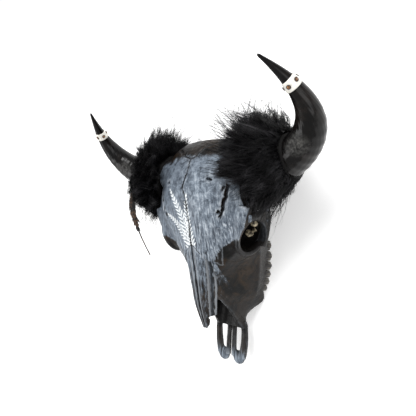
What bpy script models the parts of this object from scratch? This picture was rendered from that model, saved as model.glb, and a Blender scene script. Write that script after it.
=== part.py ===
"""Cow skull with black upturned horns, fur wraps, studded bands and a hanging feather.

Metres, +Z up. The skull lies palate down on the floor, at z = 0, with its nose towards -Y and
its left side towards +X. Distances along the skull are measured from the front of the
premaxillae, and ORIGIN_BACK puts the origin under the middle of the whole thing.
"""
import math
import random

import bmesh
import bpy
import numpy as np
from mathutils import Matrix, Vector

# Driving dimensions, in metres.
ORIGIN_BACK = 0.278
GAP = 0.0003
SKIN = 0.0004
FUR_CLEAR = 0.0009
VOXEL = 0.0022

# Profiles along the skull: (distance from the nose, value).
ROOF_TOP = [(0.084, 0.131), (0.138, 0.156), (0.181, 0.169), (0.260, 0.193), (0.305, 0.206),
            (0.380, 0.226), (0.437, 0.218), (0.470, 0.203), (0.490, 0.184)]
FRONTAL_HALF = [(0.222, 0.046), (0.248, 0.068), (0.262, 0.080), (0.276, 0.091), (0.289, 0.101), (0.302, 0.112),
                (0.318, 0.124), (0.332, 0.127), (0.350, 0.119), (0.375, 0.113), (0.400, 0.112),
                (0.440, 0.109), (0.470, 0.099), (0.490, 0.074)]
FRONTAL_EDGE = [(0.222, 0.152), (0.250, 0.156), (0.280, 0.161), (0.316, 0.171), (0.360, 0.186),
                (0.400, 0.186), (0.440, 0.178), (0.470, 0.168), (0.490, 0.160)]
NASAL_HALF = [(0.084, 0.012), (0.113, 0.021), (0.135, 0.026), (0.160, 0.030), (0.190, 0.033),
              (0.230, 0.037), (0.262, 0.040)]
NASAL_DROP = [(0.084, 0.016), (0.113, 0.022), (0.160, 0.027), (0.230, 0.026), (0.262, 0.020)]
RIM_HALF = [(0.084, 0.041), (0.095, 0.037), (0.115, 0.034), (0.135, 0.031), (0.157, 0.030)]
RIM_HEIGHT = [(0.084, 0.052), (0.095, 0.062), (0.115, 0.080), (0.135, 0.102), (0.157, 0.130)]
SHOULDER_HALF = [(0.157, 0.032), (0.200, 0.041), (0.222, 0.051), (0.235, 0.063), (0.248, 0.078),
                 (0.262, 0.090), (0.290, 0.096)]
SHOULDER_HEIGHT = [(0.157, 0.126), (0.200, 0.134), (0.222, 0.146), (0.248, 0.150), (0.290, 0.146)]
CHEEK_HALF = [(0.084, 0.044), (0.105, 0.036), (0.135, 0.048), (0.160, 0.062), (0.200, 0.077),
              (0.240, 0.090), (0.262, 0.098), (0.285, 0.104), (0.300, 0.098)]
CHEEK_HEIGHT = [(0.084, 0.038), (0.105, 0.040), (0.160, 0.040), (0.200, 0.052), (0.240, 0.070),
                (0.262, 0.084), (0.285, 0.096), (0.300, 0.100)]
JAW_HALF = [(0.084, 0.040), (0.105, 0.032), (0.128, 0.046), (0.142, 0.058), (0.156, 0.062), (0.176, 0.064),
            (0.200, 0.069), (0.240, 0.070), (0.280, 0.066), (0.300, 0.050)]
JAW_HEIGHT = [(0.084, 0.030), (0.116, 0.028), (0.130, 0.018), (0.142, 0.005), (0.154, 0.003), (0.168, 0.010),
              (0.190, 0.014), (0.270, 0.014), (0.300, 0.024)]
PALATE_HEIGHT = [(0.084, 0.034), (0.140, 0.030), (0.300, 0.027)]
JAW_THICK = 0.022
PALATE_EDGE = 0.028
SHIELD_SPAN = (0.224, 0.487)
SNOUT_SPAN = (0.084, 0.298)

# Sections: the forehead's belly under its brow edge and the bends of its dome and belly, the lip of
# the open nose, and the bed of the nasal bones.
SHIELD_DEEP = 0.055
DOME_BEND = 2.4
BELLY_BEND = 0.8
LIP_WIDTH = 0.004
LIP_DROP = 0.003
BED_WIDTH = 0.72
BED_DROP = 0.003
ROOF_DROP = 0.001
# Nasal bones: thickness, rear suture and split tips.
NASAL_THICK = 0.0050
NASAL_TIP = 0.088
NASAL_CORNER = 0.114
NASAL_REAR = 0.262
NASAL_SIDE_REAR = 0.230
NASAL_SEAM = 0.0006
NASAL_POINT = 0.003
NASAL_CREST = 0.003
NASAL_BEND = 3.2
NASAL_TIP_THICK = 0.35
NASAL_TIP_LENGTH = 0.030
NASAL_SLOPE_STEP = 0.0005
POCKET_LIFT = 0.020
NASAL_OUTER = [(0.088, 0.006), (0.096, 0.011), (0.108, 0.0145), (0.114, 0.0150), (0.118, 0.0215),
               (0.124, 0.0240), (0.160, 0.032), (0.262, 0.045)]

# Nasal cavity behind the open front of the nose.
CAVITY_SPAN = (0.030, 0.222)
CAVITY_MOUTH = 0.157
CAVITY_OPEN_TOP = 0.160
CAVITY_ROOF = 0.004
CAVITY_HALF = [(0.030, 0.034), (0.084, 0.035), (0.095, 0.031), (0.115, 0.029), (0.157, 0.026),
               (0.190, 0.027), (0.222, 0.022)]
CAVITY_FLOOR = [(0.030, 0.050), (0.084, 0.045), (0.110, 0.045), (0.222, 0.062)]

# Seams between the bones, as (distance from the nose, height) points.
SEAM_WIDTH = 0.0003
FACE_SEAM = [(0.226, 0.300), (0.234, 0.150), (0.238, 0.118), (0.262, 0.088), (0.288, 0.066), (0.290, -0.020)]
NOSE_SEAM = [(0.176, 0.300), (0.168, 0.138), (0.148, 0.104), (0.122, 0.070), (0.104, 0.048), (0.100, -0.020)]

# Triangles that the whole skull is brought to before it is parted, and what tells its pieces apart:
# the size of a scrap, how far back a premaxilla's middle lies and where the cranium's begins.
SKULL_FACES = 5600
SCRAP = 0.030
PREMAX_REACH = 0.110
CRANIUM_BEGINS = 0.24
FRONT_SPLIT_END = 0.150

# Cheek teeth, three premolars and three molars on each side: (length, width).
TOOTH_START = 0.168
TEETH = [(0.014, 0.014), (0.016, 0.017), (0.017, 0.019), (0.020, 0.022), (0.023, 0.023), (0.024, 0.022)]
TOOTH_SPACE = 0.0006
TOOTH_ROOT = 0.022
TOOTH_WAIST = 0.86
TOOTH_RIB = 0.13
TOOTH_ROW = [(0.168, 0.056), (0.190, 0.061), (0.220, 0.063), (0.285, 0.058)]

# Orbits.
ORBIT_CENTRE = Vector((0.111, 0.289, 0.137))
ORBIT_FACING = Vector((0.93, -0.36, 0.07)).normalized()
ORBIT_RIM = 0.0385
ORBIT_THICK = 0.0060
ORBIT_HOLE = 0.0338
ORBIT_LOOK = [(0.030, 1.04), (0.004, 1.0), (-0.014, 0.97), (-0.032, 0.84), (-0.048, 0.56), (-0.056, 0.24)]
ORBIT_CONE = [(0.001, 0.0400), (-0.014, 0.0420), (-0.034, 0.0470), (-0.062, 0.0500)]

# Rounded masses of bone, as (name, centre, radii): those on the midline, and those of the left side.
MIDDLE_MASSES = [("braincase", (0.0, 0.405, 0.135), (0.072, 0.080, 0.068)),
                 ("between_orbits", (0.0, 0.310, 0.130), (0.060, 0.062, 0.058)),
                 ("occiput", (0.0, 0.448, 0.137), (0.100, 0.033, 0.066))]
SIDE_MASSES = [("temple", (0.066, 0.350, 0.138), (0.044, 0.042, 0.048)),
               ("condyle", (0.027, 0.474, 0.078), (0.016, 0.018, 0.023)),
               ("bulla", (0.050, 0.425, 0.056), (0.012, 0.022, 0.020)),
               ("premaxilla_front", (0.0215, 0.0150, 0.036), (0.0165, 0.0155, 0.0066))]

# Bars of bone, as (name, control points, radii): one on the midline, and those of the left side.
SKULL_BASE = ("skull_base", [(0.0, 0.290, 0.080), (0.0, 0.380, 0.072), (0.0, 0.470, 0.085)],
              (0.026, 0.022, 0.024))
SIDE_BARS = [
    ("brow", [(0.078, 0.262, 0.146), (0.108, 0.292, 0.174), (0.118, 0.345, 0.176)], (0.006, 0.013, 0.016)),
    ("zygomatic", [(0.108, 0.272, 0.100), (0.130, 0.330, 0.098), (0.114, 0.395, 0.102), (0.084, 0.438, 0.118)],
     (0.012, 0.010, 0.010, 0.014)),
    ("postorbital", [(0.122, 0.322, 0.170), (0.127, 0.334, 0.136), (0.120, 0.334, 0.104)],
     (0.011, 0.009, 0.010)),
    ("horn_root", [(0.060, 0.420, 0.165), (0.106, 0.418, 0.158)], (0.046, 0.043)),
    ("paracondylar", [(0.062, 0.452, 0.100), (0.060, 0.450, 0.050), (0.052, 0.452, -0.004)],
     (0.024, 0.015, 0.008)),
    ("ear", [(0.050, 0.430, 0.100), (0.090, 0.440, 0.112)], (0.020, 0.014)),
    ("pterygoid", [(0.024, 0.280, 0.055), (0.023, 0.312, 0.048), (0.021, 0.342, 0.030)],
     (0.022, 0.017, 0.007))]
ROD_FLAT = 0.62
PREMAX_ROD = ("premaxilla_rod", [(0.030, 0.016, 0.037), (0.039, 0.044, 0.038), (0.038, 0.074, 0.040),
                                 (0.036, 0.098, 0.044)], (0.0105, 0.0102, 0.0095, 0.0080))
PALATINE_ROD = ("palatine_rod", [(0.0085, 0.016, 0.038), (0.0070, 0.050, 0.040), (0.0070, 0.100, 0.039)],
                (0.0066, 0.0056, 0.0060))

# Bars of air that are cut out on the midline.
FORAMEN_MAGNUM = ("foramen_magnum", [(0.0, 0.500, 0.108), (0.0, 0.455, 0.110)], (0.018, 0.016))
CHOANAE = ("choanae", [(0.0, 0.370, 0.042), (0.0, 0.300, 0.046), (0.0, 0.240, 0.054)], (0.015, 0.015, 0.012))

# Horns: the left curve's control points, and radii along it.
HORN_CURVE = [Vector(p) for p in ((0.098, 0.417, 0.155), (0.209, 0.413, 0.143), (0.300, 0.466, 0.185),
                                  (0.290, 0.502, 0.240), (0.233, 0.553, 0.319))]
HORN_RADII = (0.0440, 0.0390, 0.0315, 0.0160, 0.0020)
HORN_RINGS = 18
HORN_SIDES = 16
HORN_START = 0.02

# Bands round the horns, and the studs on them.
BAND_START = 0.803
BAND_END = 0.853
BAND_THICK = 0.0012
STUDS = 5
STUD_TURN = 0.94
STUD_RADIUS = 0.0035
STUD_HEIGHT = 0.0030
STUD_SINK = 0.6
STUD_TAPER = 0.55

# Fur wraps round the horn roots: a core, and rings of locks on it, each ring as (place along the horn,
# number of locks, length, lean towards the skull in radians).
FUR_START = 0.0
FUR_END = 0.315
FUR_SLANT = 0.045
CORE_RADII = (0.056, 0.062, 0.059, 0.046, 0.0425)
LOCK_RINGS = [(0.235, 10, 0.040, 1.15), (0.150, 11, 0.050, 0.75), (0.060, 11, 0.053, 0.25)]
LOCK_WIDTH = 0.0165
LOCK_THICK = 0.0042
LOCK_SINK = 0.006
LOCK_OVER_SKULL = 0.80
LOCK_TALL = 0.14
LOCK_STEPS = 3
LOCK_RISE = 0.55
LOCK_SWEEP = 0.62
LOCK_TAPER = 2.2
LOCK_SEED = 5
CORE_RINGS = 7
CORE_SIDES = 14

# The feather that hangs from the right wrap.
FEATHER_CURVE = [Vector(p) for p in ((-0.188, 0.404, 0.198), (-0.236, 0.372, 0.196), (-0.236, 0.320, 0.180),
                                     (-0.245, 0.229, 0.101))]
FEATHER_SIDE = Vector((0.74, 0.06, -0.67)).normalized()
FEATHER_HALF = 0.0075
FEATHER_THICK = 0.0010
FEATHER_RINGS = 18
VANE_END = 0.74
VANE_SPAN = 0.80
VANE_LEAD = 0.04
SHAFT_RADIUS = 0.0022


def curve_point(points, t):
    """Bezier curve through its control points' hull."""
    degree = len(points) - 1
    total = points[0] * 0.0
    for i, point in enumerate(points):
        total = total + point * (math.comb(degree, i) * t ** i * (1.0 - t) ** (degree - i))
    return total


def along(stations, y):
    """Value at y on a smooth curve through (y, value) stations."""
    ys = np.array([s[0] for s in stations])
    vs = np.array([s[1] for s in stations])
    y = min(max(y, ys[0]), ys[-1])
    slopes = np.gradient(vs, ys)
    i = int(np.clip(np.searchsorted(ys, y) - 1, 0, len(ys) - 2))
    h = ys[i + 1] - ys[i]
    t = (y - ys[i]) / h
    return float((2 * t ** 3 - 3 * t ** 2 + 1) * vs[i] + (t ** 3 - 2 * t ** 2 + t) * h * slopes[i]
                 + (3 * t ** 2 - 2 * t ** 3) * vs[i + 1] + (t ** 3 - t ** 2) * h * slopes[i + 1])


def clear_scene():
    for item in list(bpy.data.objects):
        bpy.data.objects.remove(item, do_unlink=True)


def material(name, color, roughness, metallic=0.0):
    made = bpy.data.materials.new(name)
    made.use_nodes = True
    shader = made.node_tree.nodes["Principled BSDF"]
    shader.inputs["Base Color"].default_value = (*color, 1.0)
    shader.inputs["Roughness"].default_value = roughness
    shader.inputs["Metallic"].default_value = metallic
    return made


def add_object(name, bm):
    mesh = bpy.data.meshes.new(name)
    bmesh.ops.recalc_face_normals(bm, faces=bm.faces)
    bm.to_mesh(mesh)
    bm.free()
    made = bpy.data.objects.new(name, mesh)
    bpy.context.collection.objects.link(made)
    return made


def strips(bm, loops):
    """Side faces between each loop of vertices and the next, all split alike."""
    for low, high in zip(loops, loops[1:]):
        for i in range(len(low)):
            j = (i + 1) % len(low)
            bm.faces.new((low[i], low[j], high[j]))
            bm.faces.new((low[i], high[j], high[i]))


def loft(name, rings):
    """Closed solid through rings of equal length, with a cap on both ends."""
    bm = bmesh.new()
    loops = [[bm.verts.new(p) for p in ring] for ring in rings]
    strips(bm, loops)
    bm.faces.new(loops[0][::-1])
    bm.faces.new(loops[-1])
    return add_object(name, bm)


def ring_solid(name, rings):
    """Closed ring through rings of points that come back to the first one."""
    bm = bmesh.new()
    loops = [[bm.verts.new(p) for p in ring] for ring in rings]
    strips(bm, loops + loops[:1])
    return add_object(name, bm)


def pointed(name, rings, tip):
    """Closed solid through rings of equal length, with a cap at its root and a point at its tip."""
    bm = bmesh.new()
    loops = [[bm.verts.new(p) for p in ring] for ring in rings]
    strips(bm, loops)
    point = bm.verts.new(tip)
    for i, vert in enumerate(loops[-1]):
        bm.faces.new((vert, loops[-1][(i + 1) % len(loops[-1])], point))
    bm.faces.new(loops[0][::-1])
    return add_object(name, bm)


def tube(name, points, radii, sides=12, flat=1.0, side_axis=Vector((0, 0, 1))):
    """Tapered bar along points, flattened across side_axis where flat is under 1."""
    rings = []
    for i, point in enumerate(points):
        ahead = points[min(i + 1, len(points) - 1)] - points[max(i - 1, 0)]
        ahead.normalize()
        across = (side_axis - ahead * side_axis.dot(ahead)).normalized()
        third = ahead.cross(across)
        rings.append([point + across * (radii[i] * flat * math.cos(a)) + third * (radii[i] * math.sin(a))
                      for a in turned(sides)])
    return loft(name, rings)


def bar(form, steps=10, **options):
    """Tube along a Bezier curve, with its radii read along their own curve."""
    name, controls, radii = form
    points = [curve_point([Vector(c) for c in controls], i / steps) for i in range(steps + 1)]
    sizes = [curve_point([Vector((r, 0, 0)) for r in radii], i / steps).x for i in range(steps + 1)]
    return tube(name, points, sizes, **options)


def ball(form):
    """Rounded mass of bone."""
    name, centre, radii = form
    bm = bmesh.new()
    bmesh.ops.create_uvsphere(bm, u_segments=24, v_segments=16, radius=1.0)
    for v in bm.verts:
        v.co = Vector(centre) + Vector((v.co.x * radii[0], v.co.y * radii[1], v.co.z * radii[2]))
    return add_object(name, bm)


def mirrored(item):
    """Copy of a solid on the skull's other side."""
    made = item.copy()
    made.data = item.data.copy()
    made.data.transform(Matrix.Diagonal((-1, 1, 1, 1)))
    made.data.flip_normals()
    bpy.context.collection.objects.link(made)
    return made


def both(item):
    return [item, mirrored(item)]


def mod_applied(item, kind, **values):
    """Adds one modifier and keeps its result as the object's own mesh."""
    mod = item.modifiers.new(kind.lower(), kind)
    for key, value in values.items():
        setattr(mod, key, value)
    graph = bpy.context.evaluated_depsgraph_get()
    mesh = bpy.data.meshes.new_from_object(item.evaluated_get(graph))
    item.modifiers.remove(mod)
    old = item.data
    item.data = mesh
    bpy.data.meshes.remove(old)
    return item


def joined(name, items):
    """One object with the meshes of all the items, which are removed."""
    bm = bmesh.new()
    for item in items:
        bm.from_mesh(item.data)
        bpy.data.objects.remove(item, do_unlink=True)
    mesh = bpy.data.meshes.new(name)
    bm.to_mesh(mesh)
    bm.free()
    made = bpy.data.objects.new(name, mesh)
    bpy.context.collection.objects.link(made)
    return made


def fused(name, items, voxel=VOXEL, smooth=6):
    """Overlapping solids grown together into one skin."""
    made = joined(name, items)
    mod_applied(made, "REMESH", mode="VOXEL", voxel_size=voxel)
    mod_applied(made, "SMOOTH", factor=0.5, iterations=smooth)
    return made


def boolean(target, other, operation):
    mod_applied(target, "BOOLEAN", operation=operation, object=other, solver="EXACT")
    bpy.data.objects.remove(other, do_unlink=True)
    return target


def copy_of(item, name):
    made = item.copy()
    made.data = item.data.copy()
    made.name = name
    bpy.context.collection.objects.link(made)
    return made


def grown(item, name, depth):
    """Copy of a solid with its skin moved out by depth."""
    made = copy_of(item, name)
    bm = bmesh.new()
    bm.from_mesh(made.data)
    bm.normal_update()
    for v in bm.verts:
        v.co += v.normal * depth
    bm.to_mesh(made.data)
    bm.free()
    return made


def cleared(item, neighbour, depth):
    """Cuts a solid back from its neighbour, also where the neighbour's skin folds."""
    for room in (depth, depth / 3):
        boolean(item, grown(neighbour, "room", room), "DIFFERENCE")
    return largest_body(item)


def largest_body(item):
    """Keeps the largest closed surface and drops loose scraps."""
    bm = bmesh.new()
    bm.from_mesh(item.data)
    seen = set()
    groups = []
    for start in bm.faces:
        if start in seen:
            continue
        group = []
        stack = [start]
        seen.add(start)
        while stack:
            face = stack.pop()
            group.append(face)
            for edge in face.edges:
                for near in edge.link_faces if edge.is_manifold else ():
                    if near not in seen:
                        seen.add(near)
                        stack.append(near)
        groups.append(group)
    groups.sort(key=lambda g: sum(f.calc_area() for f in g))
    drop = [f for group in groups[:-1] for f in group]
    if drop:
        bmesh.ops.delete(bm, geom=drop, context="FACES")
    bm.to_mesh(item.data)
    bm.free()
    return item


def thinned(item, faces):
    """Brings a mesh to about this many triangles."""
    mod_applied(item, "TRIANGULATE")
    count = len(item.data.polygons)
    if count > faces:
        mod_applied(item, "DECIMATE", ratio=faces / count)
    return item


def mended(item):
    """Closes the few pinched edges that thinning can leave."""
    for _ in range(6):
        bm = bmesh.new()
        bm.from_mesh(item.data)
        bad = {v for e in bm.edges if len(e.link_faces) != 2 for v in e.verts}
        if not bad:
            bm.free()
            break
        bmesh.ops.delete(bm, geom=list(bad), context="VERTS")
        bmesh.ops.holes_fill(bm, edges=[e for e in bm.edges if e.is_boundary], sides=0)
        bmesh.ops.triangulate(bm, faces=[f for f in bm.faces if len(f.verts) > 3])
        bm.to_mesh(item.data)
        bm.free()
    return item


def frontal_ring(y, sides=40):
    """Section of the forehead's shield: a dome above, a rounded brow edge and a flat belly."""
    half = along(FRONTAL_HALF, y)
    top = along(ROOF_TOP, y)
    edge = along(FRONTAL_EDGE, y)
    belly = edge - SHIELD_DEEP
    ring = []
    for k in range(sides):
        a = 2 * math.pi * k / sides
        x = half * math.cos(a)
        if math.sin(a) >= 0:
            z = edge + (top - edge) * (1 - abs(math.cos(a)) ** DOME_BEND)
        else:
            z = edge - (edge - belly) * abs(math.sin(a)) ** BELLY_BEND
        ring.append(Vector((x, y, z)))
    return ring


def snout_ring(y, steps=4):
    """Section of the face: roof, shoulder, facial crest, alveolar edge and palate."""
    if y < CAVITY_MOUTH:
        top = (0.0, along(RIM_HEIGHT, y))
        edge = (along(RIM_HALF, y) - LIP_WIDTH, along(RIM_HEIGHT, y))
        shoulder = (along(RIM_HALF, y), along(RIM_HEIGHT, y) - LIP_DROP)
    else:
        top = (0.0, along(ROOF_TOP, y) - ROOF_DROP)
        edge = (along(NASAL_HALF, y) * BED_WIDTH, along(ROOF_TOP, y) - BED_DROP)
        shoulder = (along(SHOULDER_HALF, y), along(SHOULDER_HEIGHT, y))
    cheek = (along(CHEEK_HALF, y), along(CHEEK_HEIGHT, y))
    jaw = along(JAW_HALF, y)
    jaw_z = along(JAW_HEIGHT, y)
    palate = along(PALATE_HEIGHT, y)
    corners = [top, edge, shoulder, cheek, (jaw, jaw_z), (jaw - JAW_THICK, jaw_z), (jaw - PALATE_EDGE, palate),
               (0.0, palate)]
    half = []
    for (x0, z0), (x1, z1) in zip(corners, corners[1:]):
        for k in range(steps):
            t = k / steps
            half.append((x0 + (x1 - x0) * t, z0 + (z1 - z0) * t))
    half.append(corners[-1])
    ring = [Vector((x, y, z)) for x, z in half]
    ring += [Vector((-x, y, z)) for x, z in half[-2:0:-1]]
    return ring


def spaced(start, end, count):
    return [start + (end - start) * i / (count - 1) for i in range(count)]


def orbit_ring(depth, radius, count):
    """Points round the left orbit's axis, depth metres out of its rim's plane."""
    turn = ORBIT_FACING.to_track_quat("Z", "X").to_matrix()
    centre = ORBIT_CENTRE + ORBIT_FACING * depth
    return [centre + turn @ Vector((radius * math.cos(a), radius * math.sin(a), 0)) for a in turned(count)]


def rim_solid(name, around=28, sides=8):
    """Raised lip of bone round the left orbit."""
    steps = [(ORBIT_THICK * math.sin(b), ORBIT_RIM + ORBIT_THICK * math.cos(b)) for b in turned(sides)]
    return ring_solid(name, [orbit_ring(depth, radius, around) for depth, radius in steps])


def bone_solids():
    """Every added form of the skull, before the hollows are cut."""
    items = [loft("shield", [frontal_ring(y) for y in spaced(*SHIELD_SPAN, 32)]),
             loft("snout", [snout_ring(y) for y in spaced(*SNOUT_SPAN, 30)]),
             bar(SKULL_BASE)]
    items += [ball(form) for form in MIDDLE_MASSES]
    items += both(rim_solid("rim"))
    items += both(loft("orbit_cone", [orbit_ring(depth, radius, 28) for depth, radius in ORBIT_CONE]))
    for form in SIDE_MASSES:
        items += both(ball(form))
    for form in SIDE_BARS:
        items += both(bar(form, sides=16))
    items += both(bar(PREMAX_ROD, flat=ROD_FLAT))
    items += both(bar(PALATINE_ROD))
    return items


def turned(count):
    """Angles of an even turn."""
    return [2 * math.pi * k / count for k in range(count)]


def bone_hollows():
    """Solids of the hollows that the skull's openings show."""
    items = both(loft("socket", [orbit_ring(depth, ORBIT_HOLE * scale, 24) for depth, scale in ORBIT_LOOK]))
    rings = []
    for y in spaced(*CAVITY_SPAN, 22):
        high = CAVITY_OPEN_TOP if y < CAVITY_MOUTH else along(ROOF_TOP, y) - CAVITY_ROOF
        low = along(CAVITY_FLOOR, y)
        half = along(CAVITY_HALF, y)
        middle = (high + low) / 2
        rise = (high - low) / 2
        rings.append([Vector((half * squared(math.cos(a)), y, middle + rise * squared(math.sin(a))))
                      for a in turned(28)])
    items.append(loft("nasal_cavity", rings))
    items.append(bar(FORAMEN_MAGNUM))
    items.append(bar(CHOANAE))
    return items


def squared(value, power=0.6):
    """A sine or cosine bent so that its circle turns into a rounded square."""
    return math.copysign(abs(value) ** power, value)


def nasal_surface(x, y):
    """Height of a nasal bone's upper face."""
    half = along(NASAL_HALF, y)
    crest = NASAL_CREST * math.sin(math.pi * min(x / (0.95 * half), 1.0))
    return along(ROOF_TOP, y) + crest - along(NASAL_DROP, y) * (x / half) ** NASAL_BEND


def nasal_solid(name, spread=0.0, lift=0.0, rings=16, steps=6):
    """Left nasal bone: a curved plate with a split front and a pointed root in the forehead.

    With spread and lift it is the room that the skull leaves for the bone, open above.
    """
    loops = []
    stations = spaced(NASAL_TIP, NASAL_SIDE_REAR, rings - 3) + spaced(NASAL_SIDE_REAR, NASAL_REAR, 4)[1:]
    for i, y in enumerate(stations):
        back = max(0.0, (y - NASAL_SIDE_REAR) / (NASAL_REAR - NASAL_SIDE_REAR))
        outer = min(along(NASAL_OUTER, y), along(NASAL_HALF, y)) * (1.0 - back) + NASAL_POINT * back
        thick = NASAL_THICK * min(1.0, NASAL_TIP_THICK + (y - NASAL_TIP) / NASAL_TIP_LENGTH) + spread
        end = {0: -spread, rings - 1: spread}.get(i, 0.0)
        upper = []
        lower = []
        for k in range(steps):
            x = NASAL_SEAM + (outer - NASAL_SEAM) * k / (steps - 1)
            z = nasal_surface(x, y)
            slope = (nasal_surface(x + NASAL_SLOPE_STEP, y) - z) / NASAL_SLOPE_STEP
            face = Vector((-slope, 0.0, 1.0)).normalized()
            if k == 0:
                face = Vector((0.0, 0.0, 1.0))
            aside = Vector(({0: -spread, steps - 1: spread * (1.0 + 2.0 * back)}.get(k, 0.0), end, 0.0))
            upper.append(Vector((x, y, z + lift)) + aside)
            lower.append(Vector((x, y, z)) - face * thick + aside)
        corner = [upper[-1] - Vector((0.0, 0.0, lift))] if lift > 0.0 else []
        loops.append(upper + corner + lower[::-1])
    return loft(name, loops)


def seam(name, path, near, far):
    """Thin upright sheet across the skull from x = near to far, along (y, z) points."""
    rings = []
    for i, (y, z) in enumerate(path):
        y0, z0 = path[max(i - 1, 0)]
        y1, z1 = path[min(i + 1, len(path) - 1)]
        length = math.hypot(y1 - y0, z1 - z0)
        dy = -(z1 - z0) / length * SEAM_WIDTH / 2
        dz = (y1 - y0) / length * SEAM_WIDTH / 2
        rings.append([Vector((near, y - dy, z - dz)), Vector((near, y + dy, z + dz)),
                      Vector((far, y + dy, z + dz)), Vector((far, y - dy, z - dz))])
    return loft(name, rings)


def box_between(name, low, high):
    return loft(name, [[Vector((x, y, z)) for x, y in ((low[0], low[1]), (high[0], low[1]), (high[0], high[1]),
                                                       (low[0], high[1]))] for z in (low[2], high[2])])


def tooth(name, x, y, length, width):
    """Cheek tooth with two lobes ribbed down their outer walls and a flat grinding face on the floor."""
    rings = []
    for z, scale in ((TOOTH_ROOT, TOOTH_WAIST), (0.0, 1.0)):
        ring = []
        for a in turned(12):
            rib = 1.0 + TOOTH_RIB * math.cos(6 * a)
            ring.append(Vector((x + width / 2 * scale * rib * squared(math.cos(a)),
                                y + length / 2 * scale * squared(math.sin(a)), z)))
        rings.append(ring)
    return loft(name, rings)


def tooth_solids():
    items = []
    y = TOOTH_START
    for i, (length, width) in enumerate(TEETH):
        middle = y + length / 2
        items += both(tooth("tooth_%d" % i, along(TOOTH_ROW, middle), middle, length, width))
        y += length + TOOTH_SPACE
    return items


def horn_size(t):
    return curve_point([Vector((r, 0, 0)) for r in HORN_RADII], t).x


def horn_solid(name, extra=0.0, start=HORN_START, end=1.0, rings=HORN_RINGS):
    """The left horn, or a stretch of it, with extra added to its radius."""
    steps = [start + (end - start) * i / rings for i in range(rings + 1)]
    return tube(name, [curve_point(HORN_CURVE, t) for t in steps], [horn_size(t) + extra for t in steps],
                sides=HORN_SIDES, side_axis=Vector((0, 1, 0)))


def horn_frame(t):
    """Point, direction and two cross directions of the left horn at t."""
    step = 0.005
    point = curve_point(HORN_CURVE, t)
    ahead = (curve_point(HORN_CURVE, t + step) - curve_point(HORN_CURVE, t - step)).normalized()
    across = (Vector((0, 1, 0)) - ahead * ahead.y).normalized()
    return point, ahead, across, ahead.cross(across)


def band_solid(name):
    """Smooth ring round the left horn with studs set into it."""
    steps = spaced(BAND_START, BAND_END, 3)
    inner = 2 * GAP
    outer = inner + BAND_THICK
    loops = []
    for t, extra in ([(steps[0], inner)] + [(t, outer) for t in steps] + [(t, inner) for t in steps[:0:-1]]):
        point, ahead, across, third = horn_frame(t)
        size = horn_size(t) + extra
        loops.append([point + (across * math.cos(a) + third * math.sin(a)) * size for a in turned(HORN_SIDES)])
    band = ring_solid(name, loops)
    point, ahead, across, third = horn_frame((BAND_START + BAND_END) / 2)
    radius = horn_size((BAND_START + BAND_END) / 2) + outer
    for a in turned(STUDS):
        out = across * math.cos(a + STUD_TURN) + third * math.sin(a + STUD_TURN)
        foot = point + out * (radius - BAND_THICK * STUD_SINK)
        stud = tube("stud", [foot, foot + out * STUD_HEIGHT], [STUD_RADIUS, STUD_RADIUS * STUD_TAPER], sides=5,
                    side_axis=ahead)
        boolean(band, stud, "UNION")
    return band


def lock_solid(root, out, lie, length, width, draw):
    """Flat tapered lock that leaves its root along out and bends over along lie to its tip."""
    flat = out.cross(lie).normalized()
    rings = []
    for i in range(LOCK_STEPS):
        s = i / LOCK_STEPS
        point = root + out * (length * s * (1.0 - (1.0 - LOCK_RISE) * s)) + lie * (length * LOCK_SWEEP * s * s)
        face = (out * (1.0 - s) + lie * s).cross(flat).normalized()
        half = width * (1.0 - s ** LOCK_TAPER) * (0.85 + 0.3 * math.sin(math.pi * s))
        thick = LOCK_THICK * (1.0 - 0.7 * s)
        rings.append([point - flat * half, point - face * thick, point + flat * half, point + face * thick])
    tip = root + (out * LOCK_RISE + lie * LOCK_SWEEP) * length + flat * (width * draw.uniform(-0.6, 0.6))
    return pointed("lock", rings, tip)


def core_size(t):
    """Radius of the wrap's core at t along the horn."""
    return curve_point([Vector((r, 0, 0)) for r in CORE_RADII], (t - FUR_START) / (FUR_END - FUR_START)).x


def wrap_frame(t, a):
    """Horn's frame and the way out of it at the turn a, further along the horn above than below."""
    point, ahead, across, third = horn_frame(t + FUR_SLANT * math.cos(a) * t / FUR_END)
    return point, ahead, across, third, across * math.cos(a) + third * math.sin(a)


def fur_locks():
    """Locks of the left wrap, in rings that overlap from the horn towards the skull."""
    draw = random.Random(LOCK_SEED)
    locks = []
    for ring, (t, count, length, lean) in enumerate(LOCK_RINGS):
        for k in range(count):
            a = 2 * math.pi * (k + 0.5 * (ring % 2) + draw.uniform(-0.2, 0.2)) / count
            place = t + draw.uniform(-0.012, 0.012)
            point, ahead, across, third, out = wrap_frame(place, a)
            tilt = lean * (0.5 - 0.5 * out.y) + LOCK_OVER_SKULL * max(0.0, out.z) + draw.uniform(-0.15, 0.15)
            reach = length * (1.0 + LOCK_TALL * abs(out.y)) * draw.uniform(0.85, 1.15)
            root = point + out * (core_size(place) - LOCK_SINK)
            grow = (out * math.cos(0.5 * tilt) - ahead * math.sin(0.5 * tilt)).normalized()
            lie = (out * math.cos(1.4 * tilt) - ahead * math.sin(1.4 * tilt)
                   + across * draw.uniform(-0.2, 0.2)).normalized()
            if grow.cross(lie).length < 0.05:
                lie = (lie + third * 0.2).normalized()
            locks.append(lock_solid(root, grow, lie, reach, LOCK_WIDTH * draw.uniform(0.85, 1.15), draw))
    return locks


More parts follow.
